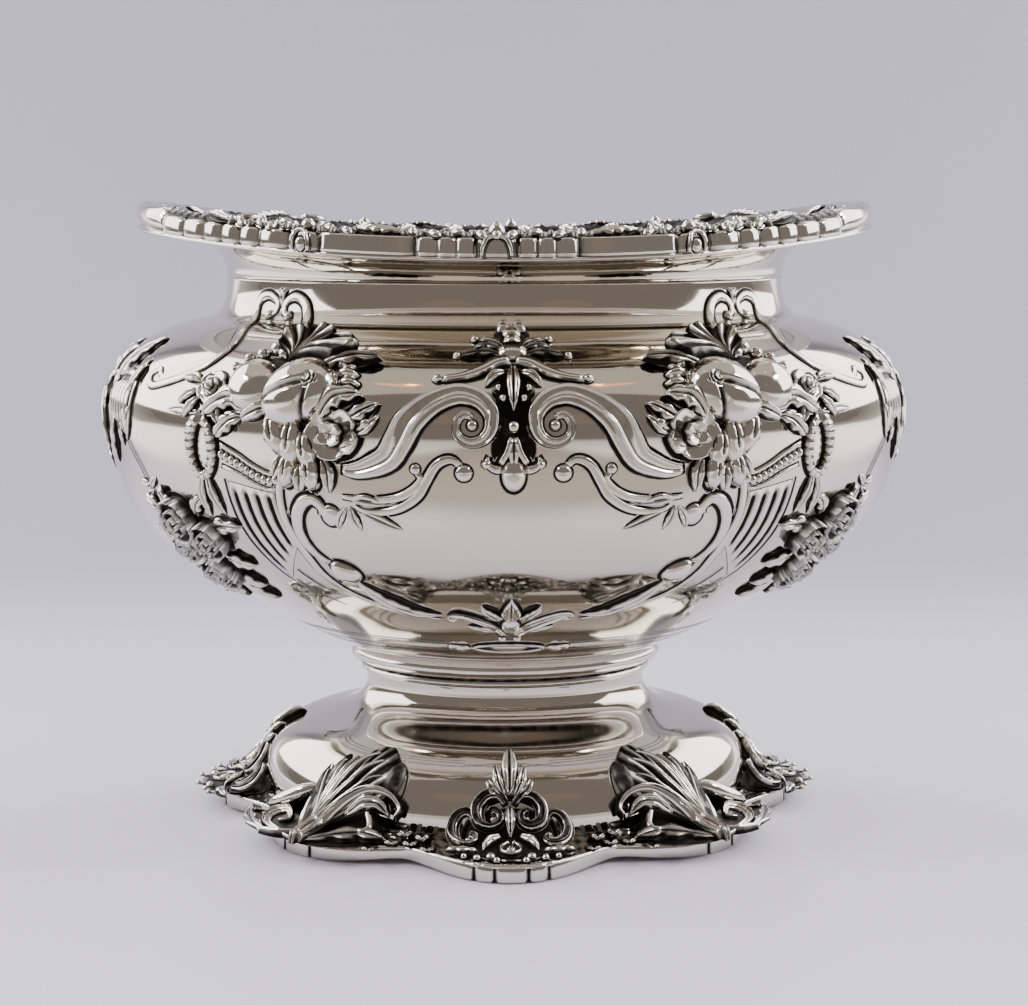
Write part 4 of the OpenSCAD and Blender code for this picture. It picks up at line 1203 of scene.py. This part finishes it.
strap(
    d, [(35, 1.4), (33.4, -0.2), (32.6, -2), (34, -3.2), (35.2, -2.2)], [1.6, 1.7, 1.4, 1.1, 0.8], RIB, 1.6,
    pitch=0.3
)
ball(d, 63.6, 1.2, 5, 1.6, 1.9, turn=radians(-38), around=28)
strap(d, [
    (47, -9.4), (54, -8), (61, -6.2), (64.6, -3.4), (61, -1.4), (57, -3.2), (59.6, -4.6)
], [0.9, 1.5, 1.7, 1.6, 1.4, 1.1, 0.8], STRAP, 1.3, pitch=0.3)
leaf(d, [(52, -9.6), (62, -8.2), (72, -5.4), (78, -3)], 2.2, 0.8, 4, 0.3)
for x, y in [
    (17, -6), (21.4, -4.6), (25.6, -4.8), (29, -8.2), (19.2, -2.8), (23.4, -2.2), (68, -6.8), (74, -4.6)
]:
    for turned in (50, 110):
        tip = (x + 2.0 * cos(radians(turned)) / 0.57, y + 1.5 * sin(radians(turned)))
        sprig(d, (x, y), tip, (0, 0), 0.9, 0.3, 0, 0, 0, 0.25)
repeat(d, "foot_leaf", QUARTERS, "foot_leaf")


# %% Cartouches of the foot
def cartouche(middle):
    """Bud, volutes, scrolls and shield round a place on the foot, in millimetres of metal from its middle."""
    d = Drawing(FOOT_SKIN)
    scale = 1 / d.skin.stretch(middle, 0)

    def spread(points, side=1):
        return flip(points, side, middle, scale)

    def hollow(u, side):
        return 0, 0.55 if -0.72 < side < 0.8 else 0, 1

    # Flat dark disc behind the cartouche: painted shade round the raised bud and volutes, with the oxide of its
    # ground.
    ball(d, middle, -1.4, 7, 7, 0.5, around=40, darken=1)
    for s in (-1, 1):
        strap(d, spread([
            (5.6, 1.6), (6.8, 2.9), (8.4, 2.2), (9.1, 0), (8.4, -2.4), (6.9, -3.6), (5.5, -3), (5.5, -1.7),
            (6.5, -1.4)
        ], s), [0.9, 1.3, 1.5, 1.6, 1.5, 1.3, 1.1, 0.9], STRAP, 1.3, hollow, 0.3, 0.2)
        strap(d, spread([
            (0.5, 4), (1.9, 5.6), (3.9, 5.5), (5.3, 3.6), (5, 1.2), (3.4, 0), (1.9, 0.8), (1.7, 2.4),
            (2.7, 3.2), (3.4, 2.6)
        ], s), [1, 1.4, 1.7, 1.8, 1.7, 1.5, 1.3, 1, 0.9], STRAP, 1.8, hollow, 0.3, 0.5)
        leaf(d, spread([(1.2, 5.2), (2.9, 6.4), (3.9, 8.4)], s), 1.6, 1.1, 0, 0.4, 0.4)
        leaf(d, spread([(0.8, 5.4), (2, 7.8), (2.6, 10.6)], s), 1.7, 1.3, 0, 0.4, 0.4)
        leaf(d, spread([(1.2, -1.2), (3, -2.8), (4, -5.2)], s), 1.7, 0.9, 0, 0.3, 0.2)
        leaf(d, spread([(4.6, -5), (6.6, -6), (9.4, -5.8)], s), 1.6, 0.8, 3, 0.3, 0.1)
        for dx, y, size in [
            (2.6, 1.7, 0.8), (6.4, -2.5, 0.6), (2.8, -7.6, 0.75), (4.6, -8.4, 0.6), (1.9, -9.6, 0.55),
            (6.4, -8, 0.5)
        ]:
            x, y = spread([(dx, y)], s)[0]
            ball(d, x, y, size, size, 0.8, around=14)
    leaf(d, spread([(0, 5.4), (0, 9.6), (0, 14.2)]), 2.7, 1.6, 0, 0.3, 0.5)
    strap(
        d, spread([(1.4 * sin(g), -5.2 + 1.9 * cos(g)) for g in [radians(20 * i) for i in range(19)]]),
        [0.6, 0.6], BAND, 1, pitch=0.3
    )
    ball(d, middle, -5.2, 0.8, 1.2, 1, around=20)
    leaf(d, spread([(0, -1.8), (0, 1), (0, 4.2)]), 1.9, 1.4, 0, 0.2, 0.4)
    return d


repeat(cartouche(0), "palmette", FRONT_BACK, "palmette")
repeat(cartouche(END), "palmette", ENDS[::-1], "palmette")
